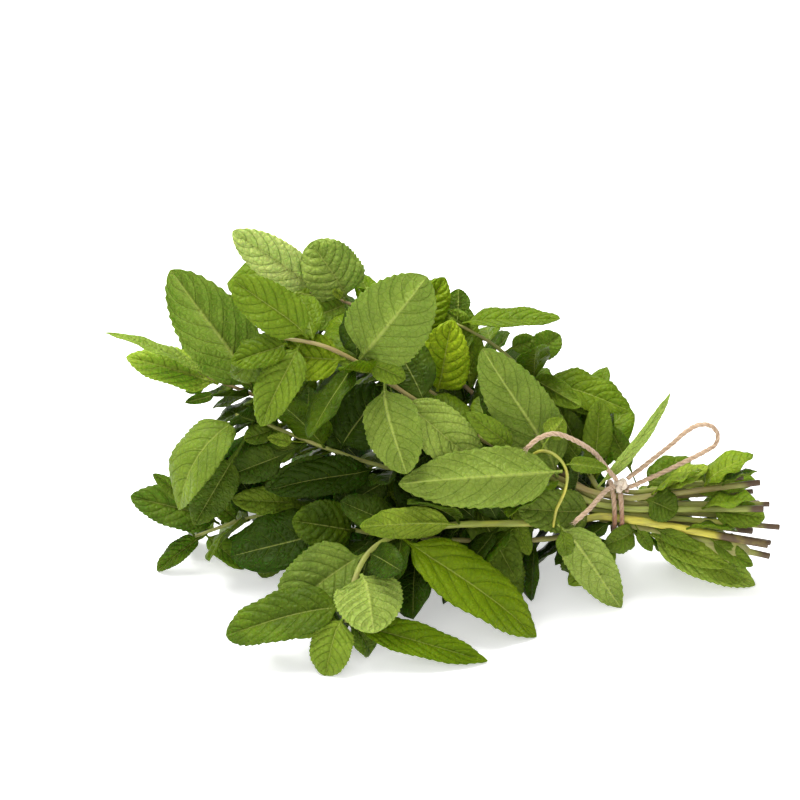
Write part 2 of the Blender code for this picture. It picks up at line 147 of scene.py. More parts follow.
# How light each leaf's green is, from 0 for an old dark leaf to 1 for a young one, with values below and
# above for the darkest and palest of all, where the values below 0 are painted shade on the leaves deep in
# the bunch's dark heart; and how pale and greyish its green is over that, partly from the down of fine hairs
# and partly a painted sheen, from 0 for a deep glossy green.
LEAF_TINTS_AND_SHADE = {
    "side_shoot_leaf_1": (0.55, 0.80), "side_shoot_leaf_2": (0.70, 0.90),
    "front_leaf_1": (0.45, 0.00), "front_leaf_2": (0.55, 0.00), "front_leaf_3": (0.25, 0.20),
    "front_leaf_4": (0.74, 0.90), "front_leaf_5": (0.34, 0.75), "front_leaf_6": (0.62, 0.35),
    "far_left_leaf_1": (0.60, 0.60), "far_left_leaf_2": (0.60, 0.60), "far_left_leaf_3": (0.85, 0.30),
    "high_front_leaf_1": (0.50, 0.80), "high_front_leaf_2": (0.50, 0.80), "high_front_leaf_3": (0.75, 0.80),
    "high_front_leaf_4": (0.50, 0.20), "high_front_leaf_5": (0.45, 0.30), "high_front_leaf_6": (0.95, 0.90),
    "high_front_leaf_7": (0.70, 0.05), "high_front_leaf_8": (0.35, 0.10),
    "front_high_leaf_1": (0.50, 0.80), "front_high_leaf_2": (0.35, 0.70),
    "middle_leaf_1": (0.42, 0.50), "middle_leaf_2": (-0.35, 0.00), "middle_leaf_3": (-0.25, 0.00),
    "top_back_leaf_1": (1.35, 0.95), "top_back_leaf_2": (0.66, 0.90), "top_back_leaf_3": (0.60, 0.00),
    "upright_leaf_1": (0.42, 0.10), "upright_leaf_2": (0.45, 0.10),
    "low_left_leaf_1": (0.25, 0.30), "low_left_leaf_2": (0.25, 0.10), "low_left_leaf_3": (0.25, 0.20),
    "mid_top_leaf_1": (0.90, 0.00),
    "front_low_leaf_1": (0.25, 0.30), "front_low_leaf_2": (0.80, 0.50), "front_low_leaf_3": (0.15, 0.30),
    "front_low_leaf_4": (0.20, 0.10),
    "back_low_leaf_1": (-0.35, 0.00), "back_low_leaf_2": (0.50, 0.60), "back_high_leaf_2": (0.50, 0.60),
}
PLAIN_TINT = (0.4, 0.3)

# What is particular about single leaves: the tip's roundness from 0 to 1, the cup across, the fold, the
# strength of the cushions and of the waves, how slim the leaf is, and whether it is broader than long.
FORMS = {
    "front_leaf_1": {"tip": 0.1, "fold": 0.16},
    "front_leaf_2": {"tip": 0.2, "cup": -0.10},
    "front_leaf_3": {"tip": 0.9},
    "front_leaf_4": {"broad": True, "tip": 0.6, "fold": 0.05, "wave": 0.5},
    "front_leaf_6": {"tip": 0.9, "cup": -0.15, "quilt": 0.8},
    "side_shoot_leaf_1": {"tip": 0.3},
    "side_shoot_leaf_2": {"tip": 0.2},
    "front_high_leaf_1": {"tip": 0.6},
    "front_high_leaf_2": {"tip": 1.0},
    "far_left_leaf_1": {"tip": 0.3},
    "far_left_leaf_2": {"tip": 0.1},
    "far_left_leaf_3": {"tip": 0.3},
    "high_front_leaf_1": {"tip": 0.6, "cup": -0.05},
    "high_front_leaf_2": {"tip": 0.5},
    "high_front_leaf_4": {"tip": 1.0},
    "high_front_leaf_5": {"tip": 0.3},
    "high_front_leaf_6": {"tip": 0.1, "slim": 0.72},
    "high_front_leaf_7": {"tip": 0.3, "quilt": 1.6},
    "top_back_leaf_1": {"tip": 0.6},
    "top_back_leaf_2": {"tip": 1.0},
    "middle_leaf_1": {"tip": 0.1, "cup": -0.12, "quilt": 0.35},
    "mid_top_leaf_1": {"tip": 0.3},
}

# The patterns that the leaves are copied from, in squares across and along: the smaller a leaf, the plainer.
LARGE_LEAF_SQUARES = (40, 96)
SMALL_LEAF_SQUARES = (16, 36)
INNER_LEAF_SQUARES = (4, 18)

# The clearance tests: half the thickness of the sheet that stands for a leaf, how far a leaf may stand past
# the box of the plain solids, and how far it stays back from the cut ends.
SHEET_HALF = 0.0003
BOX_MARGIN = 0.003
CUT_ENDS_BARE = 0.014

# The inner leaves along a stem: the tries for each, the share of the places below the tie that hold one, its
# bare stalk, and the most of it that may stand outside the front outline or hide a piece kept in view.
FILL_TRIES = 18
CUT_END_LEAVES = 0.7
INNER_STALK = 0.10
MOST_OUTSIDE = 0.30
MOST_HIDING = 0.12

# The net over the front view: the side of a square, the squares across and up, and the rows below the origin.
NET_SQUARE = 0.001
NET_SIZE = (340, 240)
NET_BELOW = 50

# The gaps that the last leaves fill: how near the covered squares around one are, the rounds, the tries in
# each, the open squares that may stay, the least of a leaf that fills a gap, and the most of it outside.
GAP_REACH = 28
GAP_ROUNDS = 260
GAP_TRIES = 24
GAP_LEFT = 40
GAP_SHARE = 0.08
GAP_OUTSIDE = 0.35

# Pieces that the inner leaves keep clear of in the front view, and the stems in the bunch's shaded heart,
# whose inner leaves get a darker green as painted shade.
KEPT_IN_VIEW = ("high_front_stem", "far_left_stem", "front_stem", "side_shoot")
SHADED_HEART_STEMS = ("middle_stem", "front_stem", "front_low_stem", "front_high_stem", "back_low_stem")

# How finely the round pieces are modelled: their sides, and the rings along them.
STEM_SIDES = 16
STEM_RINGS = 110
SHOOT_RINGS = 60
TWINE_SIDES = 18
FIBRE_SIDES = 3
FIBRE_RINGS = 6

# The twine's fibres: the thickness of the loose ones and of the splayed ones, and how many splay at an end.
LOOSE_FIBRE = 0.045 * MM
FRAYED_FIBRE = 0.11 * MM
FRAYED_FIBRES = 26

# How ripe each stem is near its cut end and near its tip, from -0.7 for yellow-green to 1 for brown, how
# thick it is beside its plain solid, and how far the browning runs up from the cut.
STEM_LOOKS = {
    "front_stem": (-0.7, 0.3, 1.15, 0.026), "front_high_stem": (0.1, 0.2, 0.9, 0.008),
    "high_front_stem": (0.5, 0.6, 0.85, 0.012), "front_low_stem": (0.4, 0.4, 0.9, 0.009),
    "upright_stem": (0.1, 0.4, 0.75, 0.006), "far_left_stem": (0.3, 0.85, 0.85, 0.014),
    "middle_stem": (-0.1, 0.3, 0.8, 0.010), "mid_top_stem": (0.4, 0.5, 0.75, 0.005),
    "top_back_stem": (0.5, 0.9, 0.75, 0.012), "low_left_stem": (0.3, 0.3, 0.8, 0.009),
    "side_shoot": (-0.1, -0.2, 0.7, 0.010),
}
PLAIN_STEM_LOOKS = (0.6, 0.5, 0.95, 0.010)

# The small leaves between the large ones, in millimetres: the stem, the place on it (0 at the tie, 1 at the
# tip, -1 at the cut end), the way from base to tip, the width, where the upper side looks, the arch, the
# lightness of the green, which is low as painted shade for leaves inside the bunch, and the share of the
# length that is bare stalk.
SMALL_LEAVES = [
    ("top_back_stem", 0.90, (-18, -8, -5), 18, (0, -0.8, 0.5), 3, 0.40, 0.08),
    ("top_back_stem", 0.90, (-7, -2, 7), 4, (0, -0.8, 0.5), 1, 0.85, 0.36),
    ("high_front_stem", 0.75, (-27, 2, 15), 6, (0, -0.8, 0.5), 1, 0.45, 0.08),
    ("high_front_stem", 1.00, (-23, 6, -19), 17, (0, -0.8, 0.5), 3, 0.30, 0.08),
    ("high_front_stem", 0.80, (18, -2, -8), 11, (0, -0.8, 0.5), 3, 0.55, 0.23),
    ("high_front_stem", 0.70, (8, -6, -14), 5, (0, -0.8, 0.5), 1, 0.50, 0.23),
    ("upright_stem", 1.00, (1, 11, 11), 11, (0, 0.9, -0.3), 1, 0.30, 0.4),
    ("top_back_stem", 0.65, (12, 8, 14), 8, (0, 0.9, -0.3), 1, 0.35, 0.4),
    ("top_back_stem", 0.70, (10, 8, 23), 13, (0, -0.8, 0.5), 3, 0.55, 0.12),
    ("upright_stem", 0.69, (17, 6, 11), 13, (0, -0.8, 0.5), 3, 0.40, 0.35),
    ("upright_stem", 0.77, (14, 6, 3), 9, (0, -0.8, 0.5), 2, 0.45, 0.22),
    ("upright_stem", 0.62, (23, -20, -5), 11, (0, 0.9, -0.3), -2, 0.45, 0.09),
    ("upright_stem", 0.54, (23, -14, -4), 6, (0, -0.8, 0.5), 1, 0.55, 0.14),
    ("upright_stem", 0.15, (2, 4, 35), 13, (0, -0.8, 0.5), 2, 0.45, 0.24),
    ("upright_stem", 0.23, (-10, 4, 25), 13, (0, -0.8, 0.5), 2, 0.25, 0.19),
    ("upright_stem", 0.15, (-14, -2, 21), 12, (0, -0.8, 0.5), 2, 0.30, 0.18),
    ("side_shoot", 0.23, (9, 6, 11), 10, (0, 0.9, -0.3), 1, 0.70, 0.38),
    ("side_shoot", 0.46, (18, 6, -5), 7, (0, 0.9, -0.3), 2, 0.55, 0.12),
    ("upright_stem", -0.14, (-13, 6, 27), 10, (0, -0.8, 0.5), 2, 0.30, 0.4),
    ("upright_stem", -0.14, (-8, 6, 24), 6, (0, -0.8, 0.5), 1, 0.45, 0.4),
    ("front_high_stem", 0.78, (-21, -6, 18), 10, (0, -0.8, 0.5), 2, 0.50, 0.08),
    ("middle_stem", 0.95, (-26, -12, -43), 18, (0, -0.8, 0.5), 3, 0.20, 0.39),
    ("low_left_stem", 0.92, (-29, 0, 26), 8, (0, -0.8, 0.5), 1, 0.30, 0.4),
    ("low_left_stem", 0.96, (17, -10, -12), 12, (0, -0.3, 0.9), 2, 0.40, 0.1),
    ("middle_stem", 0.81, (-33, -4, -14), 16, (0, -0.8, 0.5), 3, 0.10, 0.35),
    ("low_left_stem", 0.75, (-12, -6, -29), 17, (0, -0.8, 0.5), 3, 0.22, 0.09),
    ("low_left_stem", 0.71, (-2, -4, -26), 10, (0, -0.8, 0.5), 2, 0.15, 0.11),
    ("middle_stem", 0.81, (-16, -4, 4), 6, (0, -0.8, 0.5), 1, 0.70, 0.4),
    ("middle_stem", 0.90, (-12, -4, -3), 9, (0, -0.8, 0.5), 1, 0.30, 0.08),
    ("low_left_stem", 0.75, (-28, -3, -32), 8, (0, -0.3, 0.9), 1, 0.25, 0.4),
    ("middle_stem", 0.38, (19, -14, -37), 18, (0, -0.8, 0.5), 4, 0.30, 0.14),
    ("front_stem", 1.00, (-43, -8, -4), 17, (-0.1, -0.5, 0.8), 3, 0.50, 0.08),
    ("front_stem", 1.00, (12, -3, -13), 16, (0.1, -0.5, 0.8), 3, 0.25, 0.12),
    ("front_stem", 0.50, (-39, -22, 11), 14, (0, 0.9, -0.3), 4, 0.75, 0.08),
    ("low_left_stem", 0.42, (-27, -20, 13), 8, (0, -0.8, 0.5), 3, 0.50, 0.13),
    ("front_low_stem", 0.69, (-22, -10, -19), 22, (0, -0.8, 0.5), 3, 0.05, 0.12),
    ("middle_stem", 0.29, (10, -10, -24), 9, (0, -0.8, 0.5), 2, 0.50, 0.16),
    ("middle_stem", 0.24, (-3, -4, -30), 11, (0, -0.8, 0.5), 2, 0.30, 0.08),
    ("side_shoot", 0.92, (5, 1, -18), 8, (0, -0.8, 0.5), 2, 0.40, 0.34),
    ("upright_stem", -0.14, (16, -6, -6), 15, (0, -0.8, 0.5), 4, 0.25, 0.4),
    ("top_back_stem", -0.50, (31, -4, 9), 12, (0, -0.8, 0.5), 2, 0.65, 0.11),
    ("mid_top_stem", -0.62, (23, -2, -4), 13, (0, -0.8, 0.5), 2, 0.55, 0.08),
    ("front_low_stem", -0.25, (33, -4, -14), 11, (0, -0.8, 0.5), 2, 0.65, 0.16),
    ("front_low_stem", -0.12, (-29, -4, -22), 13, (0, -0.6, 0.8), 4, 0.60, 0.31),
    ("front_stem", -0.25, (19, -4, -8), 7, (0, -0.8, 0.5), 1, 0.35, 0.13),
    ("front_stem", -0.12, (7, -6, -10), 6, (0, -0.8, 0.5), 1, 0.30, 0.28),
    ("front_stem", -0.62, (20, -2, -11), 8, (0, -0.8, 0.5), 1, 0.40, 0.11),
    ("front_low_stem", -0.12, (-17, -2, -9), 13, (0, -0.8, 0.5), 2, 0.30, 0.08),
    ("front_low_stem", -0.50, (22, 2, -19), 11, (0, -0.8, 0.5), 2, 0.55, 0.08),
    ("upright_stem", -0.57, (22, 2, 4), 9, (0, -0.8, 0.5), 1, 0.50, 0.21),
    ("far_left_stem", 0.96, (-13, -2, -4), 5, (0, 0.9, -0.3), 0, 0.40, 0.4),
    ("far_left_stem", 0.92, (-20, -4, -5), 5, (0, 0.9, -0.3), 0, 0.30, 0.4),
    ("middle_stem", 0.86, (-18, 4, 4), 11, (0, -0.8, 0.5), 2, 0.35, 0.17),
    ("middle_stem", 0.81, (-25, 0, -8), 11, (0, -0.8, 0.5), 2, 0.20, 0.18),
    ("middle_stem", 0.71, (-34, -4, -10), 14, (0, -0.8, 0.5), 3, 0.15, 0.17),
    ("low_left_stem", 0.62, (-18, -6, 17), 13, (0, -0.8, 0.5), 2, 0.10, 0.11),
    ("low_left_stem", 0.88, (-12, 0, 11), 10, (0, -0.8, 0.5), 2, 0.30, 0.08),
    ("low_left_stem", 0.71, (-32, -4, 5), 14, (0, -0.8, 0.5), 3, 0.55, 0.09),
    ("low_left_stem", 0.67, (-27, -8, -10), 15, (0, -0.8, 0.5), 3, 0.50, 0.1),
    ("low_left_stem", 0.62, (-19, -8, -23), 14, (0, -0.8, 0.5), 3, 0.10, 0.09),
    ("low_left_stem", 0.54, (-15, -8, -24), 13, (0, -0.8, 0.5), 2, 0.05, 0.1),
    ("low_left_stem", 0.46, (-6, -8, -30), 14, (0, -0.8, 0.5), 3, 0.05, 0.14),
    ("low_left_stem", 0.33, (1, -8, -25), 14, (0, -0.8, 0.5), 3, 0.20, 0.08),
    ("front_low_stem", 0.38, (1, -6, -18), 11, (0, -0.8, 0.5), 2, 0.30, 0.14),
    ("middle_stem", 0.67, (-16, -2, 14), 14, (0, -0.8, 0.5), 3, 0.12, 0.09),
    ("middle_stem", 0.57, (-21, -4, -9), 13, (0, -0.8, 0.5), 3, 0.08, 0.23),
    ("low_left_stem", 0.75, (-15, -6, -20), 19, (0, -0.8, 0.5), 3, 0.50, 0.14),
    ("upright_stem", 0.92, (-9, 4, 13), 10, (0, -0.8, 0.5), 2, 0.55, 0.2),
]


# Helpers.

def deselect():
    for thing in bpy.context.selected_objects:
        thing.select_set(False)


def pick(thing):
    deselect()
    bpy.context.view_layer.objects.active = thing
    thing.select_set(True)


def join(things, name):
    pick(things[0])
    for thing in things:
        thing.select_set(True)
    bpy.ops.object.join()
    things[0].name = name
    things[0].data.name = name
    return things[0]


def apply(thing, modifier):
    pick(thing)
    bpy.ops.object.modifier_apply(modifier=modifier.name)


def copied(master, name):
    thing = master.copy()
    thing.data = master.data.copy()
    thing.name = name
    thing.data.name = name
    bpy.context.scene.collection.objects.link(thing)
    return thing


def points_of(thing):
    points = np.empty(len(thing.data.vertices) * 3, np.float32)
    thing.data.vertices.foreach_get("co", points)
    return points.reshape(-1, 3).astype(float)


def set_points(thing, points):
    thing.data.vertices.foreach_set("co", np.asarray(points, np.float32).ravel())
    thing.data.update()


def give(thing, name, values):
    """Stores a number, or three, for each point of the mesh."""
    values = np.asarray(values, np.float32)
    if values.ndim == 1:
        thing.data.attributes.new(name, "FLOAT", "POINT").data.foreach_set("value", values)
    else:
        thing.data.attributes.new(name, "FLOAT_VECTOR", "POINT").data.foreach_set("vector", values.ravel())


def unit(vectors):
    vectors = np.asarray(vectors, float)
    return vectors / np.linalg.norm(vectors, axis=-1, keepdims=True)


def blend_over(value, low, high):
    share = np.clip((value - low) / (high - low), 0, 1)
    return share * share * (3 - 2 * share)


def smooth_route(points, step):
    """Evenly spaced points on a smooth curve through the given ones."""
    points = [np.asarray(point, float) for point in points]
    padded = [2 * points[0] - points[1], *points, 2 * points[-1] - points[-2]]
    fine = []
    for before, start, end, after in zip(padded, padded[1:], padded[2:], padded[3:]):
        for share in np.linspace(0, 1, 16, endpoint=False):
            fine.append(0.5 * (
                2 * start
                + (end - before) * share
                + (2 * before - 5 * start + 4 * end - after) * share**2
                + (3 * start - before - 3 * end + after) * share**3
            ))
    fine = np.array([*fine, points[-1]])
    along = np.concatenate([[0], np.cumsum(np.linalg.norm(np.diff(fine, axis=0), axis=1))])
    even = np.linspace(0, along[-1], max(2, round(along[-1] / step)) + 1)
    return np.stack([np.interp(even, along, fine[:, axis]) for axis in range(3)], axis=1)


def carried_frames(points, first):
    """A direction across the path at each point, carried along it without twist, and the tangents."""
    tangents = unit(np.gradient(points, axis=0))
    across = []
    last = np.asarray(first, float)
    for tangent in tangents:
        last = last - tangent * (last @ tangent)
        last = last / np.linalg.norm(last)
        across.append(last)
    return np.array(across), tangents


def distance_along(points):
    return np.concatenate([[0], np.cumsum(np.linalg.norm(np.diff(points, axis=0), axis=1))])


# Swept pieces: stems, twine and fibres.

def model_rod(name, sides, rings):
    """A closed straight rod of unit radius, drawn out of a disc one unit at a time."""
    deselect()
    bpy.ops.mesh.primitive_circle_add(vertices=sides, radius=1, fill_type="NGON", location=(0, 0, 0))
    rod = bpy.context.object
    rod.name = name
    bpy.ops.object.mode_set(mode="EDIT")
    bpy.ops.mesh.select_all(action="SELECT")
    for _ in range(rings - 1):
        bpy.ops.mesh.extrude_region_move(TRANSFORM_OT_translate={"value": (0, 0, 1)})
    bpy.ops.mesh.select_all(action="SELECT")
    bpy.ops.mesh.normals_make_consistent(inside=False)
    bpy.ops.mesh.faces_shade_smooth()
    bpy.ops.object.mode_set(mode="OBJECT")
    return rod


def lay_rod(rod, path, reach, first=(0, 0, 1), twist=None):
    """Bends a straight rod along a path. reach gives the radius for each ring and angle."""
    flat = points_of(rod)
    ring = np.round(flat[:, 2]).astype(int)
    angle = np.arctan2(flat[:, 1], flat[:, 0])
    across, tangents = carried_frames(path, first)
    over = np.cross(tangents, across)
    turn = angle + (0 if twist is None else twist[ring])
    radius = reach(ring, angle)
    offset = across[ring] * np.cos(turn)[:, None] + over[ring] * np.sin(turn)[:, None]
    set_points(rod, path[ring] + offset * radius[:, None])
    return ring, angle, radius


# Materials.

class Graph:
    """A material's nodes, joined up as they are added."""

    def __init__(self, name):
        self.material = bpy.data.materials.new(name)
        self.material.use_nodes = True
        self.tree = self.material.node_tree
        self.shader = self.tree.nodes["Principled BSDF"]

    def feed(self, socket, value):
        if isinstance(value, bpy.types.NodeSocket):
            self.tree.links.new(value, socket)
        else:
            socket.default_value = value

    def add(self, kind, inputs=(), **settings):
        node = self.tree.nodes.new(kind)
        for key, value in settings.items():
            setattr(node, key, value)
        for key, value in dict(inputs).items():
            self.feed(node.inputs[key], value)
        return node

    def math(self, operation, *values):
        node = self.tree.nodes.new("ShaderNodeMath")
        node.operation = operation
        for socket, value in zip(node.inputs, values):
            self.feed(socket, value)
        return node.outputs[0]

    def vector(self, operation, first, second):
        node = self.tree.nodes.new("ShaderNodeVectorMath")
        node.operation = operation
        self.feed(node.inputs[0], first)
        self.feed(node.inputs[1], second)
        return node.outputs[0]

    def between(self, value, low, high, first=0.0, last=1.0):
        """Eases from first to last as the value goes from low to high."""
        node = self.tree.nodes.new("ShaderNodeMapRange")
        node.interpolation_type = "SMOOTHSTEP"
        names = ("Value", "From Min", "From Max", "To Min", "To Max")
        for key, given in zip(names, (value, low, high, first, last)):
            self.feed(node.inputs[key], given)
        return node.outputs["Result"]

    def mix(self, share, first, second, blend="MIX"):
        node = self.tree.nodes.new("ShaderNodeMix")
        node.data_type = "RGBA"
        node.blend_type = blend
        for socket, value in zip((node.inputs[0], node.inputs[6], node.inputs[7]), (share, first, second)):
            self.feed(socket, value if isinstance(value, (bpy.types.NodeSocket, float)) else (*value, 1.0))
        return node.outputs[2]

    def attribute(self, name):
        return self.add("ShaderNodeAttribute", attribute_name=name)

    def noise(self, vector, scale, detail=3.0, rough=0.5):
        return self.add(
            "ShaderNodeTexNoise", {"Vector": vector, "Scale": scale, "Detail": detail, "Roughness": rough}
        ).outputs["Fac"]

    def finish(self, colour, roughness, height, strength, distance):
        self.feed(self.shader.inputs["Base Color"], colour)
        self.feed(self.shader.inputs["Roughness"], roughness)
        bump = self.add("ShaderNodeBump", {"Height": height, "Strength": strength, "Distance": distance})
        self.feed(self.shader.inputs["Normal"], bump.outputs["Normal"])
        return self.material


def vein_marks(graph):
    """Masks of the midrib, the side veins and the fine net between them, from the blade's own map."""
    flat_map = graph.add("ShaderNodeUVMap", uv_map="blade").outputs["UV"]
    parts = graph.add("ShaderNodeSeparateXYZ", {"Vector": flat_map})
    signed = graph.math("MULTIPLY_ADD", parts.outputs["X"], 2.0, -1.0)
    across = graph.math("ABSOLUTE", signed)
    along = parts.outputs["Y"]
    place = graph.attribute("flat").outputs["Vector"]
    drift = graph.math("MULTIPLY_ADD", graph.noise(place, 0.12, 1.0), 0.5, -0.25)
    bend = graph.math("MULTIPLY", across, graph.math("MULTIPLY_ADD", across, -VEIN_BEND, -VEIN_RISE))
    shift = graph.math("MULTIPLY", graph.math("SIGN", signed), 0.15)
    phase = graph.math("MULTIPLY_ADD", graph.math("ADD", along, bend), VEINS, shift)
    phase = graph.math("ADD", phase, graph.math("MULTIPLY", drift, across))
    gap = graph.math("PINGPONG", graph.math("ADD", phase, -VEIN_START * VEINS), 0.5)
    thin = graph.math("MULTIPLY_ADD", across, -0.045, 0.09)
    side = graph.between(gap, 0.012, thin, 1.0, 0.0)
    rib = graph.between(across, 0.006, graph.math("MULTIPLY_ADD", along, -0.025, 0.045), 1.0, 0.0)
    crooked = graph.vector(
        "ADD", place, graph.add("ShaderNodeTexNoise", {"Vector": place, "Scale": 0.5}).outputs["Color"]
    )
    coarse = graph.add(
        "ShaderNodeTexVoronoi", {"Vector": crooked, "Scale": 0.42}, feature="DISTANCE_TO_EDGE"
    ).outputs["Distance"]
    fine = graph.add(
        "ShaderNodeTexVoronoi", {"Vector": crooked, "Scale": 1.1}, feature="DISTANCE_TO_EDGE"
    ).outputs["Distance"]
    net = graph.math(
        "MAXIMUM", graph.between(coarse, 0.0, 0.13, 1.0, 0.0), graph.between(fine, 0.0, 0.12, 0.45, 0.0)
    )
    pillow = graph.between(coarse, 0.0, 0.40)
    return rib, side, net, pillow, place


def quilted(graph, pillow, place):
    """The height of the skin: cushions between the fine veins, with a fine grain on them."""
    return graph.math("MULTIPLY_ADD", graph.noise(place, 1.4, 3.0), 0.3, pillow)


def leaf_upper():
    """The upper side: cushions between sunken veins, which are painted darker as shade, in a deep glossy
    green or a paler, greyer one that is partly fine down and partly a painted sheen.
    """
    graph = Graph("leaf_upper")
    rib, side, net, pillow, place = vein_marks(graph)
    tint_and_shade = graph.attribute("tint_and_shade").outputs["Fac"]
    clouds = graph.noise(place, 0.09, 4.0)
    tint_and_shade = graph.math("ADD", tint_and_shade, graph.math("MULTIPLY_ADD", clouds, 0.5, -0.25))
    # The green is darkest at a lightness of 0 and below, which also serves as painted shade for leaves deep
    # in the bunch.
    deep = graph.mix(graph.between(tint_and_shade, 0.0, 0.55), (0.016, 0.034, 0.001), (0.112, 0.174, 0.002))
    deep = graph.mix(graph.between(tint_and_shade, 0.45, 1.0), deep, (0.250, 0.335, 0.010))
    # The paler, greyer green is partly the down of fine hairs and partly a painted sheen.
    downy_sheen = graph.mix(graph.between(tint_and_shade, 0.0, 0.55), (0.056, 0.086, 0.014), (0.190, 0.258, 0.042))
    downy_sheen = graph.mix(graph.between(tint_and_shade, 0.45, 1.0), downy_sheen, (0.322, 0.408, 0.088))
    downy_sheen = graph.mix(graph.between(tint_and_shade, 1.0, 1.5), downy_sheen, (0.530, 0.610, 0.180))
    green = graph.mix(graph.attribute("bloom_and_sheen").outputs["Fac"], deep, downy_sheen)
    # The sunken fine net and side veins are painted darker: this is painted shade in those creases.
    green = graph.mix(graph.math("MULTIPLY", net, 0.30), green, (0.030, 0.058, 0.002))
    green = graph.mix(graph.math("MULTIPLY", side, 0.42), green, (0.055, 0.095, 0.004))
    green = graph.mix(graph.math("MULTIPLY", rib, 0.40), green, (0.400, 0.450, 0.110))
    specks = graph.between(graph.noise(place, 1.6, 1.0), 0.74, 0.80)
    green = graph.mix(graph.math("MULTIPLY", specks, 0.35), green, (0.060, 0.070, 0.015))
    height = graph.math("SUBTRACT", quilted(graph, pillow, place), side)
    rough = graph.math("MULTIPLY_ADD", graph.noise(place, 0.3, 2.0), 0.22, 0.30)
    graph.shader.inputs["Subsurface Weight"].default_value = 0.25
    graph.shader.inputs["Subsurface Radius"].default_value = (0.5, 1.0, 0.12)
    graph.shader.inputs["Subsurface Scale"].default_value = 0.0012
    graph.shader.inputs["Specular IOR Level"].default_value = 0.10
    graph.shader.inputs["Specular Tint"].default_value = (0.85, 0.95, 0.60, 1.0)
    return graph.finish(green, rough, height, 0.75, 0.00046)


def leaf_under():
    """The paler underside, where the veins stand out."""
    graph = Graph("leaf_under")
    rib, side, net, pillow, place = vein_marks(graph)
    tint_and_shade = graph.attribute("tint_and_shade").outputs["Fac"]
    clouds = graph.noise(place, 0.08, 4.0)
    tint_and_shade = graph.math("ADD", tint_and_shade, graph.math("MULTIPLY_ADD", clouds, 0.36, -0.18))
    green = graph.mix(graph.between(tint_and_shade, 0.0, 0.55), (0.096, 0.142, 0.025), (0.220, 0.290, 0.066))
    green = graph.mix(graph.between(tint_and_shade, 0.45, 1.0), green, (0.352, 0.425, 0.105))
    green = graph.mix(graph.between(tint_and_shade, 1.0, 1.5), green, (0.600, 0.670, 0.230))
    green = graph.mix(graph.math("MULTIPLY", net, 0.34), green, (0.095, 0.140, 0.020))
    green = graph.mix(graph.math("MULTIPLY", side, 0.30), green, (0.120, 0.165, 0.028))
    green = graph.mix(graph.math("MULTIPLY", rib, 0.75), green, (0.420, 0.460, 0.150))
    height = graph.math("SUBTRACT", graph.math("MAXIMUM", net, side), quilted(graph, pillow, place))
    graph.shader.inputs["Subsurface Weight"].default_value = 0.25
    graph.shader.inputs["Subsurface Radius"].default_value = (0.5, 1.0, 0.15)
    graph.shader.inputs["Subsurface Scale"].default_value = 0.0012
    graph.shader.inputs["Specular IOR Level"].default_value = 0.22
    rough = graph.math("MULTIPLY_ADD", graph.noise(place, 0.4, 2.0), 0.16, 0.46)
    return graph.finish(green, rough, height, 0.7, 0.00036)


LEAF_MATERIALS = (leaf_upper(), leaf_under())


def stem_skin():
    """Yellow-green, green or brown as it ripens, streaked along its length, and dark brown near the cut."""
    graph = Graph("stem_skin")
    place = graph.attribute("flat").outputs["Vector"]
    ripe = graph.attribute("ripe").outputs["Fac"]
    cut = graph.attribute("cut").outputs["Fac"]
    drawn = graph.vector("MULTIPLY", place, (1.0, 0.12, 1.0))
    streaks = graph.noise(drawn, 1.3, 4.0, 0.6)
    patches = graph.noise(place, 0.12, 3.0)
    ripeness = graph.math("ADD", ripe, graph.math("MULTIPLY_ADD", patches, 0.7, -0.35))
    colour = graph.mix(graph.between(ripeness, 0.15, 0.85), (0.280, 0.330, 0.050), (0.290, 0.200, 0.080))
    colour = graph.mix(graph.between(ripeness, -0.45, 0.10), (0.560, 0.500, 0.050), colour)
    colour = graph.mix(graph.between(streaks, 0.35, 0.75, 0.0, 0.5), colour, (0.150, 0.105, 0.045))
    browned = graph.math("ADD", cut, graph.math("MULTIPLY_ADD", patches, 0.9, -0.45))
    colour = graph.mix(graph.between(browned, 0.45, 0.95), colour, (0.075, 0.040, 0.014))
    rough = graph.between(streaks, 0.2, 0.8, 0.38, 0.62)
    graph.shader.inputs["Subsurface Weight"].default_value = 0.12
    graph.shader.inputs["Subsurface Radius"].default_value = (1.0, 0.8, 0.3)
    graph.shader.inputs["Subsurface Scale"].default_value = 0.001
    return graph.finish(colour, rough, streaks, 0.4, 0.0002)


def cut_face():
    """The wet browned end of a stem, mottled in two browns."""
    graph = Graph("stem_cut_face")
    place = graph.attribute("flat").outputs["Vector"]
    mottle = graph.noise(place, 2.0, 4.0)
    colour = graph.mix(mottle, (0.300, 0.200, 0.090), (0.110, 0.060, 0.030))
    return graph.finish(colour, 0.5, mottle, 0.6, 0.0003)


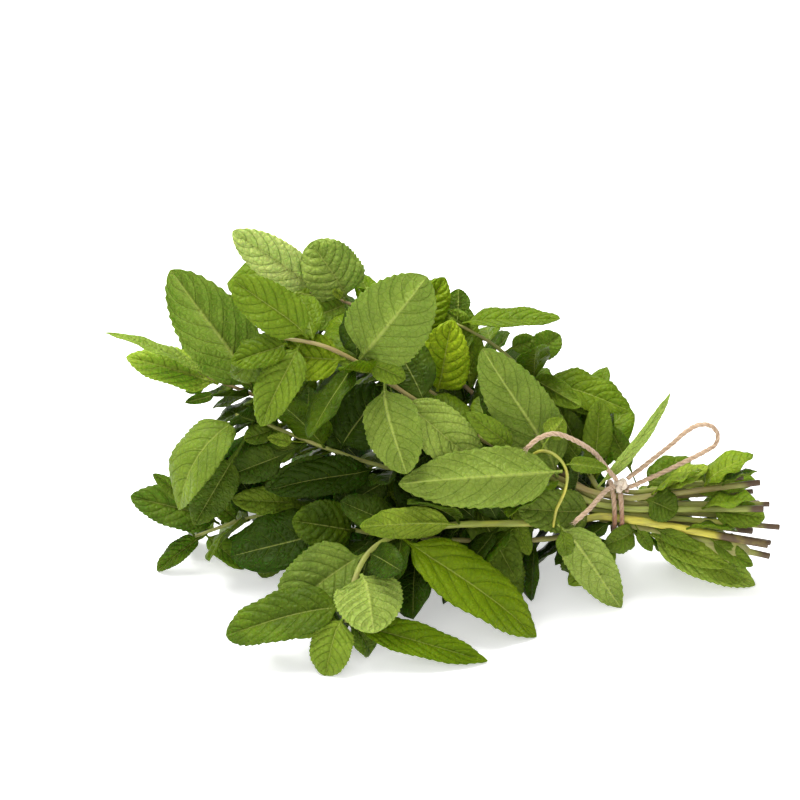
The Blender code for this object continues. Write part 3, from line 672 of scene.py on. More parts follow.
def jute():
    """Pale twisted fibres, with painted shade darkening the lays between the strands, and reddish where sap
    and water have soaked in.
    """
    graph = Graph("jute")
    place = graph.attribute("flat").outputs["Vector"]
    damp = graph.attribute("damp").outputs["Fac"]
    lay = graph.attribute("lay").outputs["Fac"]
    drawn = graph.vector("MULTIPLY", place, (3.2, 0.5, 1.0))
    fibres = graph.noise(drawn, 1.5, 5.0, 0.7)
    patches = graph.noise(place, 0.25, 2.0)
    colour = graph.mix(graph.between(fibres, 0.3, 0.7), (0.330, 0.200, 0.110), (0.720, 0.540, 0.370))
    # The lays, the grooves between the strands, get a darker colour as painted shade.
    colour = graph.mix(graph.between(lay, 0.0, 0.5, 0.55, 0.0), colour, (0.200, 0.115, 0.060))
    soaked = graph.math("MULTIPLY", damp, graph.between(patches, 0.2, 0.7, 0.65, 1.0))
    colour = graph.mix(soaked, colour, (0.290, 0.115, 0.050))
    colour = graph.mix(graph.between(damp, -1.0, 0.0, 0.8, 0.0), colour, (0.820, 0.740, 0.620))
    graph.shader.inputs["Sheen Weight"].default_value = 0.2
    return graph.finish(colour, graph.between(damp, 0.0, 1.0, 0.92, 0.6), fibres, 0.8, 0.0004)


# Camera, floor and light.

def place_camera():
    elevation = math.radians(CAMERA_ELEVATION)
    data = bpy.data.cameras.new("camera")
    data.lens = CAMERA_LENS
    data.sensor_width = 36
    data.clip_start = 0.01
    camera = bpy.data.objects.new("camera", data)
    away = Vector((0, -math.cos(elevation), math.sin(elevation)))
    camera.location = LOOK_AT + away * CAMERA_DISTANCE
    camera.rotation_euler = (-away).to_track_quat("-Z", "Y").to_euler()
    bpy.context.scene.collection.objects.link(camera)
    bpy.context.scene.camera = camera


def add_light(name, place, target, size, power):
    data = bpy.data.lights.new(name, "AREA")
    data.shape = "DISK"
    data.size = size
    data.energy = power
    light = bpy.data.objects.new(name, data)
    light.location = place
    light.rotation_euler = (Vector(target) - Vector(place)).to_track_quat("-Z", "Y").to_euler()
    bpy.context.scene.collection.objects.link(light)


def light_studio():
    scene = bpy.context.scene
    scene.view_settings.view_transform = "Standard"
    world = bpy.data.worlds.new("studio")
    scene.world = world
    world.use_nodes = True
    world.node_tree.nodes["Background"].inputs["Color"].default_value = (1.0, 1.0, 1.0, 1.0)
    world.node_tree.nodes["Background"].inputs["Strength"].default_value = 0.55
    add_light("key", (-0.40, 0.20, 1.20), (0, 0, 0.05), 1.1, 29.0)
    add_light("front_fill", (-0.2, -1.3, 0.9), (0, 0, 0.05), 1.2, 9.0)


def lay_floor():
    deselect()
    bpy.ops.mesh.primitive_plane_add(size=12, location=(0, 0, 0))
    floor = bpy.context.object
    floor.name = "table"
    graph = Graph("table_white")
    place = graph.add("ShaderNodeTexCoord").outputs["Object"]
    grain = graph.noise(place, 40.0, 2.0)
    colour = graph.mix(graph.between(grain, 0.2, 0.8), (0.90, 0.90, 0.90), (0.92, 0.92, 0.92))
    graph.shader.inputs["Emission Color"].default_value = (1.0, 1.0, 1.0, 1.0)
    graph.shader.inputs["Emission Strength"].default_value = TABLE_GLOW
    floor.data.materials.append(graph.finish(colour, 0.8, grain, 0.02, 0.0001))


# Twine.

def knot_middle():
    low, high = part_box("twine_knot")
    return np.array((low + high) / 2)


def strand_reach(angle, diameter):
    """How far the surface of three strands, laid side by side, stands from their common middle."""
    offset = 0.16 * diameter
    strand = 0.27 * diameter
    from_strand = (angle + math.pi / 3) % (2 * math.pi / 3) - math.pi / 3
    return offset * np.cos(from_strand) + np.sqrt(strand**2 - (offset * np.sin(from_strand)) ** 2)


def twine_piece(name, path, material, seed, damp, taper=(1.0, 1.0)):
    """Three strands twisted along a path, a little uneven in thickness as jute is."""
    rod = model_rod(name, TWINE_SIDES, len(path))
    draw = random.Random(seed)
    along = distance_along(path)
    bumps = sum(
        0.03 * math.cos(draw.uniform(0, 6)) * np.sin(along / (MM * draw.uniform(2, 7)) + draw.uniform(0, 6))
        for _ in range(4)
    )
    ends = np.interp(along / along[-1], (0, 0.04, 0.96, 1), (taper[0], 1, 1, taper[1]))
    twist = along / TWINE_PITCH * 2 * math.pi

    def reach(ring, angle):
        return strand_reach(angle, TWINE_DIAMETER) * (1 + bumps[ring]) * ends[ring]

    ring, angle, radius = lay_rod(rod, path, reach, (0.2, 0.3, 1), twist)
    give(rod, "flat", np.stack([angle * 1.2, along[ring] / MM, np.full(len(ring), seed * 11.0)], axis=1))
    # The mask is 0 in the grooves between the strands, where the jute material paints shade, and 1 on the
    # strands.
    give(rod, "lay", blend_over(radius / TWINE_DIAMETER, 0.32, 0.43))
    give(rod, "damp", damp(path)[ring])
    rod.data.materials.append(material)
    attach(rod, "root")
    return rod


def dry(path):
    """How damp each point of a free end is, from -1 for bleached to 1 for soaked."""
    return np.full(len(path), 0.05)


def bleached(path):
    return np.full(len(path), -0.7)


def lower_front_damp(path):
    """Soaked on the lower front, where the juice of the cut leaves ran, and dry over the top."""
    low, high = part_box("twine_binding")
    height = (path[:, 2] - low[2]) / (high[2] - low[2])
    return 0.15 + 0.85 * blend_over(-height, -0.85, -0.45)


def cord_path(route, closes):
    """The smooth path of a free end, which leaves the knot squarely and, for a loop, comes back to it."""
    low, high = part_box("twine_knot")
    clear = (high[2] - low[2]) / 2 + TWINE_GAP
    ends = [np.array(point) for point in route]
    foot = unit(ends[0])
    ends[0:1] = [foot * clear, foot * (clear + TWINE_DIAMETER / 2)]
    if closes:
        foot = unit(ends[-1])
        ends[-1:] = [foot * (clear + TWINE_DIAMETER / 2), foot * clear]
    return knot_middle() + smooth_route(ends, TWINE_STEP)


def make_cords(material):
    cords = []
    for number, (node, route, length, far_end) in enumerate((
        ("twine_tail_long", TAIL_LONG, 0.054, "bare"),
        ("twine_tail_short", TAIL_SHORT, 0.030, "bare"),
        ("twine_loop", LOOP, 0.094, "object"),
    )):
        path = cord_path(route, far_end == "object")
        taper = (1.0, 1.0 if far_end == "object" else 0.8)
        cord = twine_piece(node + "_jute", path, material, 3 + number, dry, taper)
        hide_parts(node)
        cords.append(path)
    return cords


def make_binding(material):
    low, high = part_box("twine_binding")
    middle = np.array((low + high) / 2)
    radius = (high[1] - low[1]) / 2 - TWINE_DIAMETER / 2
    count = round(2 * math.pi * radius * TWINE_TURNS / TWINE_STEP)
    turns = np.linspace(0, TWINE_TURNS, count)
    along = (turns - TWINE_TURNS / 2) * (TWINE_DIAMETER + 2 * TWINE_GAP)
    angles = math.radians(TWINE_START_ANGLE) + turns * 2 * math.pi
    path = middle + np.stack(
        [along, radius * np.cos(angles), radius * np.sin(angles) + along * TWINE_SLOPE], axis=1
    )
    binding = twine_piece("twine_binding_jute", path, material, 9, lower_front_damp)
    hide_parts("twine_binding")
    return path


def make_knot(material):
    """The knot's strand crosses over itself three times and is pulled tight."""
    low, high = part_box("twine_knot")
    unit_size = ((high[2] - low[2]) / 2 - TWINE_DIAMETER / 2) / 3
    turn = np.linspace(0.15, 2 * math.pi - 0.15, 110)
    across = np.sin(turn) + 2 * np.sin(2 * turn)
    up = np.cos(turn) - 2 * np.cos(2 * turn)
    deep = -np.sin(3 * turn) * 1.4
    path = knot_middle() + unit_size * np.stack([across * 0.86, deep, up], axis=1)
    knot = twine_piece("twine_knot_jute", path, material, 13, bleached, (0.7, 0.7))
    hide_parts("twine_knot")
    return path


def fibre_starts(paths, frayed_ends, draw):
    """For each fibre: where it starts, its lean, the side it is on, its length and its thickness."""
    starts = []
    for path, count in paths:
        for _ in range(count):
            index = draw.randrange(2, len(path) - 3)
            tangent = unit(path[index + 2] - path[index - 2])
            side = unit(np.cross(tangent, [draw.gauss(0, 1) for _ in range(3)]))
            start = path[index] + side * TWINE_DIAMETER * 0.36
            lean = tangent * draw.choice((-1, 1)) * draw.uniform(0.4, 1.0) + side * draw.uniform(0.15, 0.7)
            starts.append((start, lean, side, draw.uniform(1.2, 3.2) * MM, LOOSE_FIBRE))
    for path in frayed_ends:
        tangent = unit(path[-1] - path[-4])
        for _ in range(FRAYED_FIBRES):
            side = unit(np.cross(tangent, [draw.gauss(0, 1) for _ in range(3)]))
            start = path[-1] + side * TWINE_DIAMETER * draw.uniform(0.0, 0.38) - tangent * 0.4 * MM
            lean = tangent + side * draw.uniform(0.0, 0.55)
            starts.append((start, lean, side, draw.uniform(1.0, 2.6) * MM, FRAYED_FIBRE))
    return starts


def make_fibres(paths, frayed_ends, material):
    """Loose fibres that stand off the twine, and the splayed ones at its cut ends."""
    master = model_rod("fibre", FIBRE_SIDES, FIBRE_RINGS)
    draw = random.Random(41)
    fibres = []
    for start, lean, side, length, thick in fibre_starts(paths, frayed_ends, draw):
        def thinning(ring, angle):
            return thick * (1 - 0.8 * ring / (FIBRE_RINGS - 1))

        fibre = copied(master, "fibre_copy")
        share = np.linspace(0, 1, FIBRE_RINGS)[:, None]
        curl = side * draw.uniform(-0.5, 0.5) * length
        path = start + unit(lean) * length * share + curl * share**2
        lay_rod(fibre, path, thinning, (0.3, 0.2, 0.9))
        fibres.append(fibre)
    bpy.data.objects.remove(master)
    made = join(fibres, "twine_fibres")
    count = len(made.data.vertices)
    give(made, "flat", points_of(made) / MM)
    # The loose fibres get none of the painted shade of the grooves.
    give(made, "lay", np.ones(count))
    give(made, "damp", np.full(count, 0.05))
    made.data.materials.append(material)
    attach(made, "root")


# Stems.

class Stem:
    """A stem's middle line from its cut end, or its foot, to its tip, with its radius along it."""

    def __init__(self, points, radii, tie_index):
        self.points = points
        self.radii = radii
        self.tie_index = tie_index

    def at(self, place):
        """The middle, direction and radius at a place, 0 at the tie, 1 at the tip and -1 at the cut end."""
        if place >= 0:
            index = self.tie_index + place * (len(self.points) - 1 - self.tie_index)
        else:
            index = self.tie_index * (1 + place)
        low = min(int(index), len(self.points) - 2)
        share = index - low
        middle = self.points[low] * (1 - share) + self.points[low + 1] * share
        direction = self.points[low + 1] - self.points[low]
        radius = self.radii[low] * (1 - share) + self.radii[low + 1] * share
        return Vector(middle), Vector(direction).normalized(), radius


def read_stem(node, from_lowest=False):
    """The centres and radii of a plain stem's rings, walked from one end cap to the other."""
    shape = bmesh.new()
    shape.from_mesh(node.data)
    bmesh.ops.remove_doubles(shape, verts=shape.verts, dist=1e-5)
    corners = list(shape.verts)
    first = min(corners, key=lambda corner: corner.co.z if from_lowest else -corner.co.x)
    ring = sorted(corners, key=lambda corner: (corner.co - first.co).length)[:4]
    seen = set()
    rings = []
    while ring:
        rings.append(np.array([corner.co for corner in ring]))
        seen.update(ring)
        ring = list({
            end for corner in ring for edge in corner.link_edges for end in edge.verts if end not in seen
        })
    shape.free()
    centres = np.array([corners.mean(axis=0) for corners in rings])
    radii = np.array([np.linalg.norm(corners - corners.mean(axis=0), axis=1).mean() for corners in rings])
    if from_lowest:
        centres = centres[::-1]
        radii = radii[::-1]
    return centres, radii


def make_stem(node_name, rings, skin, face, seed):
    """A rounded-square mint stem, thicker where its leaf pairs stand, with a browned cut end."""
    is_shoot = node_name == "side_shoot"
    centres, radii = read_stem(NODES[node_name], is_shoot)
    path = smooth_route(centres, distance_along(centres)[-1] / (rings - 1))
    path = path[np.linspace(0, len(path) - 1, rings).round().astype(int)]
    along = distance_along(path)
    share = along / along[-1]
    thick = np.interp(share, np.linspace(0, 1, len(radii)), radii)
    tie_middle = np.array(sum(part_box("twine_binding"), Vector()) / 2)
    tie_index = 0 if is_shoot else int(np.argmin(np.linalg.norm(path - tie_middle, axis=1)))
    draw = random.Random(seed)
    lower, upper, slim, cut_length = STEM_LOOKS.get(node_name, PLAIN_STEM_LOOKS)
    pair_gap = draw.uniform(0.026, 0.034)
    from_tie = along - along[tie_index]
    swell = 1 + 0.16 * np.exp(-((((from_tie + pair_gap / 2) % pair_gap) - pair_gap / 2) / 0.0018) ** 2)
    swell = np.where(from_tie > 0.01, swell, 1.0)
    wobble = 1 + 0.03 * np.sin(along / 0.004 + draw.uniform(0, 6))
    tip = np.where(share > 0.985, 0.75, 1.0)
    rod = model_rod(node_name + "_skin", STEM_SIDES, rings)

    def reach(ring, angle):
        corner = 1 / (np.abs(np.cos(angle)) ** 3.2 + np.abs(np.sin(angle)) ** 3.2) ** (1 / 3.2)
        return thick[ring] * 0.87 * slim * corner * (swell * wobble * tip)[ring]

    ring, angle, radius = lay_rod(rod, path, reach, (0, 0.3, 1), along / 0.35)
    side = np.stack([angle * radius / MM, along[ring] / MM, np.full(len(ring), seed * 17.0)], axis=1)
    give(rod, "flat", side)
    give(rod, "ripe", np.interp(share, (0.0, 0.35, 0.9), (lower, lower * 0.5 + upper * 0.5, upper))[ring])
    cut = np.zeros(rings) if is_shoot else np.clip(1.25 - along / cut_length * 0.75, 0, 1)
    give(rod, "cut", cut[ring])
    rod.data.materials.append(skin)
    rod.data.materials.append(face)
    if not is_shoot:
        for polygon in rod.data.polygons:
            if len(polygon.vertices) > 4 and (polygon.center - Vector(path[0])).length < 0.001:
                polygon.material_index = 1
    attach(rod, "root")
    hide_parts(node_name)
    return Stem(path, thick, tie_index)


# Leaves.

class Midrib:
    """A leaf's middle line with the directions to its right-hand side and to its upper side."""

    def __init__(self, points, sides):
        self.points = np.asarray(points)
        self.along = distance_along(self.points)
        self.length = self.along[-1]
        tangents = unit(np.gradient(self.points, axis=0))
        sides = np.asarray(sides)
        sides = sides - tangents * np.sum(sides * tangents, axis=1, keepdims=True)
        self.sides = unit(sides)
        self.ups = unit(np.cross(self.sides, tangents))

    def at(self, share):
        along = share * self.length
        middle = np.stack([np.interp(along, self.along, self.points[:, axis]) for axis in range(3)], axis=1)
        side = np.stack([np.interp(along, self.along, self.sides[:, axis]) for axis in range(3)], axis=1)
        up = np.stack([np.interp(along, self.along, self.ups[:, axis]) for axis in range(3)], axis=1)
        return middle, side, up


def corners_and_edges(node):
    shape = bmesh.new()
    shape.from_mesh(node.data)
    bmesh.ops.remove_doubles(shape, verts=shape.verts, dist=1e-5)
    corners = np.array([corner.co for corner in shape.verts])
    edges = np.array([[end.index for end in edge.verts] for edge in shape.edges])
    shape.free()
    return corners, edges


def leaf_ends(corners, stem_line, broad):
    """The foot and the tip of a plain leaf, which lie farthest apart unless it is broader than long."""
    apart = np.linalg.norm(corners[:, None] - corners[None], axis=2)
    if broad:
        first = np.linalg.norm(corners[:, None] - stem_line[None], axis=2).min(axis=1).argmin()
        last = apart[first].argmax()
    else:
        ends = np.unravel_index(apart.argmax(), apart.shape)
        far = [np.linalg.norm(stem_line - corners[end], axis=1).min() for end in ends]
        first, last = ends if far[0] < far[1] else ends[::-1]
    return corners[apart[first] < 1.95 * MM].mean(axis=0), corners[apart[last] < 1.5 * MM].mean(axis=0)


def slices_across(corners, edges, base, chord):
    """Twelve cuts across a plain leaf, each as its width, its points, its left end and the way across."""
    length = np.linalg.norm(chord)
    depth = (corners - base) @ unit(chord)
    slices = []
    for share in np.linspace(0.16, 0.84, 12):
        before = depth[edges[:, 0]] - share * length
        after = depth[edges[:, 1]] - share * length
        crossed = before * after < 0
        part = (before / (before - after))[crossed][:, None]
        cut = corners[edges[crossed, 0]] * (1 - part) + corners[edges[crossed, 1]] * part
        gaps = np.linalg.norm(cut[:, None] - cut[None], axis=2)
        left, right = np.unravel_index(gaps.argmax(), gaps.shape)
        slices.append((gaps.max(), cut, cut[left], unit(cut[right] - cut[left])))
    return slices


def right_hand_way(widest_slice, ahead):
    """The way to the leaf's right, from its widest cut, which the fold makes deepest in the middle."""
    _, cut, left, known = widest_slice
    off_line = cut - left
    off_line = off_line - np.outer(off_line @ known, known)
    deepest = -off_line[np.linalg.norm(off_line, axis=1).argmax()]
    return -known if np.cross(known, ahead) @ deepest < 0 else known


def read_leaf(node, stem_line, broad=False):
    """The midrib and the widest width of a plain leaf, read off its solid in slices across it."""
    corners, edges = corners_and_edges(node)
    base, tip = leaf_ends(corners, stem_line, broad)
    ahead = unit(tip - base)
    slices = slices_across(corners, edges, base, tip - base)
    widest_slice = max(slices, key=lambda piece: piece[0])
    known = right_hand_way(widest_slice, ahead)
    middles = [base]
    sides = []
    for _, cut, _, across in slices:
        across = across if across @ known > 0 else -across
        up = unit(np.cross(across, ahead))
        sides.append(across)
        middles.append(cut[(cut @ up).argmin()] + up * 0.4 * MM)
    middles.append(tip)
    sides = [sides[0], *sides, sides[-1]]
    for _ in range(2):
        inner = [unit(a + 2 * b + c) for a, b, c in zip(sides, sides[1:], sides[2:])]
        sides = [sides[0], *inner, sides[-1]]
    fine = smooth_route(middles, 0.8 * MM)
    shares = distance_along(np.array(middles))
    spots = distance_along(fine)
    sides = np.stack([
        np.interp(spots / spots[-1], shares / shares[-1], np.array(sides)[:, axis]) for axis in range(3)
    ], axis=1)
    return Midrib(fine, sides), widest_slice[0]


def bent_midrib(base, lead, reach, face, arch):
    """A midrib that leaves its stem along lead and arches over to the end of its reach."""
    length = reach.length
    chord = reach.normalized()
    upper = (face - face.project(chord)).normalized()
    tip = base + reach
    near = base + lead * 0.12 * length + chord * 0.14 * length + upper * arch
    far = tip - chord * 0.35 * length + upper * arch
    points = []
    sides = []
    for share in np.linspace(0, 1, 24):
        rest = 1 - share
        points.append(
            base * rest**3 + near * 3 * share * rest**2 + far * 3 * share**2 * rest + tip * share**3
        )
        slope = (near - base) * rest**2 + (far - near) * 2 * share * rest + (tip - far) * share**2
        sides.append(slope.cross(upper).normalized())
    return Midrib(points, sides)


def vein_phase(across, along):
    """Counts the side veins up the blade, by the same rule as the marks in the leaf materials."""
    reach = np.abs(across)
    return (along - reach * (VEIN_RISE + VEIN_BEND * reach) - VEIN_START) * VEINS + np.sign(across) * 0.15


def model_blade(name, columns, rows):
    """A flat blade, one unit to each side and one long, with the thickness of its veins in a vertex group."""
    deselect()
    bpy.ops.mesh.primitive_grid_add(x_subdivisions=columns, y_subdivisions=rows, size=2, location=(0, 0, 0))
    blade = bpy.context.object
    blade.name = name
    pick(blade)
    bpy.ops.object.mode_set(mode="EDIT")
    bpy.ops.mesh.select_all(action="SELECT")
    bpy.ops.mesh.faces_shade_smooth()
    bpy.ops.transform.translate(value=(0, 1, 0))
    bpy.ops.transform.resize(value=(1, 0.5, 1), center_override=(0, 0, 0))
    bpy.ops.object.mode_set(mode="OBJECT")
    flat = points_of(blade)
    across = np.sign(flat[:, 0]) * np.abs(flat[:, 0]) ** 1.25
    along = flat[:, 1]
    set_points(blade, np.stack([across, along, along * 0], axis=1))
    layer = blade.data.uv_layers[0] if blade.data.uv_layers else blade.data.uv_layers.new()
    layer.name = "blade"
    corners = np.empty(len(blade.data.loops), np.int32)
    blade.data.loops.foreach_get("vertex_index", corners)
    mapped = np.stack([across * 0.5 + 0.5, along], axis=1)[corners]
    layer.data.foreach_set("uv", mapped.astype(np.float32).ravel())
    group = blade.vertex_groups.new(name="thick")
    gap = np.abs((vein_phase(across, along) + 0.5) % 1 - 0.5)
    side_vein = blend_over(-gap, -0.13, -0.02) * (1 - np.abs(across))
    rib = np.exp(-((across / (0.09 - 0.05 * along)) ** 2)) * (1 - 0.75 * along)
    stalk = blend_over(-along, -PETIOLE_SHARE - 0.03, -PETIOLE_SHARE)
    weight = np.clip(0.26 + 0.16 * side_vein + 0.62 * rib + 0.7 * stalk, 0, 1)
    for index, value in enumerate(weight):
        group.add([index], float(value), "REPLACE")
    return blade


def half_widths(along, across, teeth, round_tip, seed):
    """The half width at each point of the flat blade, with teeth along the margins that point forward."""
    shares, halves = np.array(OUTLINE).T
    draw = random.Random(seed)
    full = draw.uniform(0.92, 1.08)
    smooth = np.interp(np.clip(along, 0, 1) ** full, shares, halves)
    smooth = smooth + round_tip * np.interp(along, *np.array(ROUND_TIP).T)
    shifted = np.where(across > 0, draw.random(), draw.random())
    phase = (along * teeth + shifted + 0.3 * np.sin(along * 9 + shifted * 6)) % 1
    tooth = np.where(phase < 0.8, phase / 0.8, (1 - phase) / 0.2)
    on_blade = blend_over(along, 0.16, 0.26) * blend_over(-along, -0.99, -0.93)
    edge = blend_over(np.abs(across), 0.72, 1.0)
    return smooth + (tooth - 0.6) * TOOTH_DEPTH * on_blade * edge


def cushions(across, along, width, quilt):
    """The height of the cushions between the side veins, with the midrib sunk between them."""
    reach = np.abs(across)
    between = np.sin(math.pi * (vein_phase(across, along) % 1)) ** 0.85
    inward = blend_over(reach, 0.0, 0.30) * blend_over(-reach, -1.15, -0.65)
    height = quilt * QUILT_HEIGHT * (width / FULL_WIDTH) ** 0.5 * between * inward
    return height - 0.00045 * np.exp(-((across / 0.07) ** 2))


def margin_waves(across, along, width, draw):
    """Slow waves up each margin, small beside the leaf's width."""
    waves = 0
    for sign in (-1, 1):
        number = draw.uniform(1.6, 3.2)
        start = draw.uniform(0, 6.3)
        size = draw.uniform(0.02, 0.05) * width
        waves = waves + np.where(across * sign > 0, size * np.sin(along * number * 6.28 + start), 0)
    return waves


def thicken(blade, width):
    """Gives the sheet its thickness, with the paler underside below and at its edges."""
    thickness = blade.modifiers.new("thickness", "SOLIDIFY")
    thickness.thickness = BLADE_THICKNESS * (0.75 + 0.25 * min(1.0, width / FULL_WIDTH))
    thickness.offset = -1
    thickness.vertex_group = "thick"
    thickness.material_offset = 1
    thickness.material_offset_rim = 1
    apply(blade, thickness)
    blade.vertex_groups.clear()
    for material in LEAF_MATERIALS:
        blade.data.materials.append(material)


def lay_blade(master, name, midrib, width, tint_and_shade, bloom_and_sheen, seed, form):
    """Lays a copy of the flat blade along a midrib.

    form may give how slim the leaf is, how round its tip, its number of teeth, its share of bare stalk, its
    fold, its cup across, and how strong its cushions and the waves of its margins are.
    """
    blade = copied(master, name)
    across, along, _ = points_of(blade).T
    draw = random.Random(seed * 7 + 1)
    width = width * form.get("slim", 1.0)
    round_tip = form.get("tip", draw.uniform(0.2, 0.8))
    half = half_widths(along, across, form.get("teeth", TEETH), round_tip, seed) * width / 2
    place = np.interp(along, (0, PETIOLE_SHARE, 1), (0, form.get("stalk", PETIOLE_SHARE), 1))
    middle, side, up = midrib.at(place)
    reach = np.abs(across)
    on_blade = blend_over(along, 0.10, 0.22) * blend_over(-along, -0.995, -0.86)
    fold = form.get("fold", FOLD)
    height = cushions(across, along, width, form.get("quilt", 1.0)) * on_blade
    height += fold * half * (reach * 1.45 - 0.45 * reach**2 - 0.25 * reach**3)
    height += form.get("cup", draw.uniform(-0.05, 0.02)) * half * reach**2.5
    height += margin_waves(across, along, form.get("wave", 1.0) * width, draw) * reach**2.2 * on_blade
    height += draw.uniform(-0.06, 0.06) * midrib.length * np.clip(along - 0.6, 0, 1) ** 2 * 3
    out = across * half * math.sqrt(1 - (fold * 0.8) ** 2)
    points = middle + side * out[:, None] + up * height[:, None]
    points[:, 2] = np.maximum(points[:, 2], 0.0005)
    set_points(blade, points)
    count = len(along)
    give(blade, "flat", np.stack([out / MM, along * midrib.length / MM, np.full(count, seed * 9.3)], axis=1))
    # The lightness of the green, which also serves as painted shade for leaves deep in the bunch.
    give(blade, "tint_and_shade", np.full(count, tint_and_shade))
    # How pale and grey the green is: partly fine down and partly a painted sheen.
    give(blade, "bloom_and_sheen", np.full(count, bloom_and_sheen))
    thicken(blade, width)
    return blade


def finish_leaf(blade, node=None):
    """Makes a leaf, or a group of leaves, a piece of the model."""
    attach(blade, "root")
    if node:
        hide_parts(node)


def make_leaves(master, stems):
    for number, node in enumerate(sorted(name for name in NODES if "_leaf_" in name)):
        owner = node.split("_leaf_")[0]
        stem = stems.get(owner + "_stem") or stems[owner]
        form = FORMS.get(node, {})
        midrib, width = read_leaf(NODES[node], stem.points, form.get("broad", False))
        tint_and_shade, bloom_and_sheen = LEAF_TINTS_AND_SHADE.get(node, PLAIN_TINT)
        blade = lay_blade(master, node + "_blade", midrib, width, tint_and_shade, bloom_and_sheen, number + 1, form)
        finish_leaf(blade, node)


class Standing:
    """The pieces that already stand, as search trees with their boxes."""

    def __init__(self):
        self.trees = []

    def add(self, points, faces):
        points = [Vector(point) for point in points]
        tree = BVHTree.FromPolygons(points, faces)
        self.trees.append((np.min(points, axis=0), np.max(points, axis=0), tree))

    def meets(self, points, faces):
        low = np.min(points, axis=0)
        high = np.max(points, axis=0)
        tree = None
        for other_low, other_high, other in self.trees:
            if (low > other_high).any() or (high < other_low).any():
                continue
            tree = tree or BVHTree.FromPolygons([Vector(point) for point in points], faces)
            if tree.overlap(other):
                return True
        return False


def plain_sheet(midrib, width, stalk):
    """A coarse closed sheet where a leaf would lie, for the clearance tests."""
    shares, halves = np.array([pair for pair in OUTLINE if pair[0] > 0.14][::2]).T
    place = np.interp(shares, (0, PETIOLE_SHARE, 1), (0, stalk, 1))
    middle, side, up = midrib.at(place)
    reach = side * (np.maximum(halves, 0.06) * width / 2)[:, None]
    lift = up * (np.maximum(halves, 0.06) * width / 2 * FOLD)[:, None]
    thick = up * SHEET_HALF
    points = []
    for offset in (thick, -thick):
        rows = np.stack([middle - reach + lift, middle, middle + reach + lift], axis=1) + offset[:, None]
        points += list(rows.reshape(-1, 3))
    count = len(shares) * 3
    faces = []
    for row in range(len(shares) - 1):
        for column in range(2):
            corner = row * 3 + column
            quad = (corner, corner + 1, corner + 4, corner + 3)
            faces.append(quad)
            faces.append(tuple(index + count for index in reversed(quad)))
        for column in (0, 2):
            corner = row * 3 + column
            faces.append((corner, corner + 3, corner + 3 + count, corner + count))
    return points, faces


def small_turns(most):
    """Pitches, yaws and rolls in degrees, from none to the most that is allowed."""
    yield 0, 0, 0
    for size in range(5, most + 1, 5):
        for roll in (0, size, -size):
            for turn in range(8):
                angle = math.radians(45 * turn)
                yield size * math.cos(angle), size * math.sin(angle), roll


def turned(reach, face, pitch, yaw, roll):
    """The leaf's reach and upper side after it is tipped, swung and rolled by these degrees."""
    chord = reach.normalized()
    upper = (face - face.project(chord)).normalized()
    turn = Matrix.Rotation(math.radians(pitch), 3, chord.cross(upper)) @ Matrix.Rotation(
        math.radians(yaw), 3, upper
    )
    reach = turn @ reach
    return reach, Matrix.Rotation(math.radians(roll), 3, reach.normalized()) @ (turn @ upper)


def hold_leaf(stem, place, reach, width, face, arch, stalk, standing, most, fits=None):
    """The nearest way to the wanted one of holding a leaf that meets nothing already there, or None."""
    middle, along, radius = stem.at(place)
    for pitch, yaw, roll in small_turns(most):
        new_reach, new_face = turned(reach, face, pitch, yaw, roll)
        lead = (new_reach - new_reach.project(along) * 0.8).normalized()
        out = (new_reach - new_reach.project(along)).normalized()
        base = middle + out * radius * 0.9
        midrib = bent_midrib(base, lead, new_reach, new_face, arch)
        points, faces = plain_sheet(midrib, width, stalk)
        if min(point[2] for point in points) < 0.0006:
            continue
        if fits and not fits(points):
            continue
        if not standing.meets(points, faces):
            return midrib, points, faces
    return None


RIGHT = Vector((1, 0, 0))
VIEW_ANGLE = math.radians(CAMERA_ELEVATION)
TOWARDS_VIEWER = Vector((0, -math.cos(VIEW_ANGLE), math.sin(VIEW_ANGLE)))
VIEW_UP = TOWARDS_VIEWER.cross(RIGHT)


def tree_of(names):
    """One search tree over several of the plain solids."""
    points = []
    faces = []
    for name in names:
        start = len(points)
        points += [corner.co.copy() for corner in NODES[name].data.vertices]
        faces += [tuple(index + start for index in face.vertices) for face in NODES[name].data.polygons]
    return BVHTree.FromPolygons(points, faces)


def hides_little(points, kept):
    """True where a leaf hides almost nothing of the kept pieces, from the front."""
    samples = [Vector(point) for point in points[:len(points) // 2]]
    step = TOWARDS_VIEWER * 0.0005
    hiding = 0
    for point in samples:
        hidden = kept.ray_cast(point + step, TOWARDS_VIEWER)[0]
        covers = kept.ray_cast(point - step, -TOWARDS_VIEWER)[0]
        hiding += bool(covers and not hidden)
    return hiding <= len(samples) * MOST_HIDING


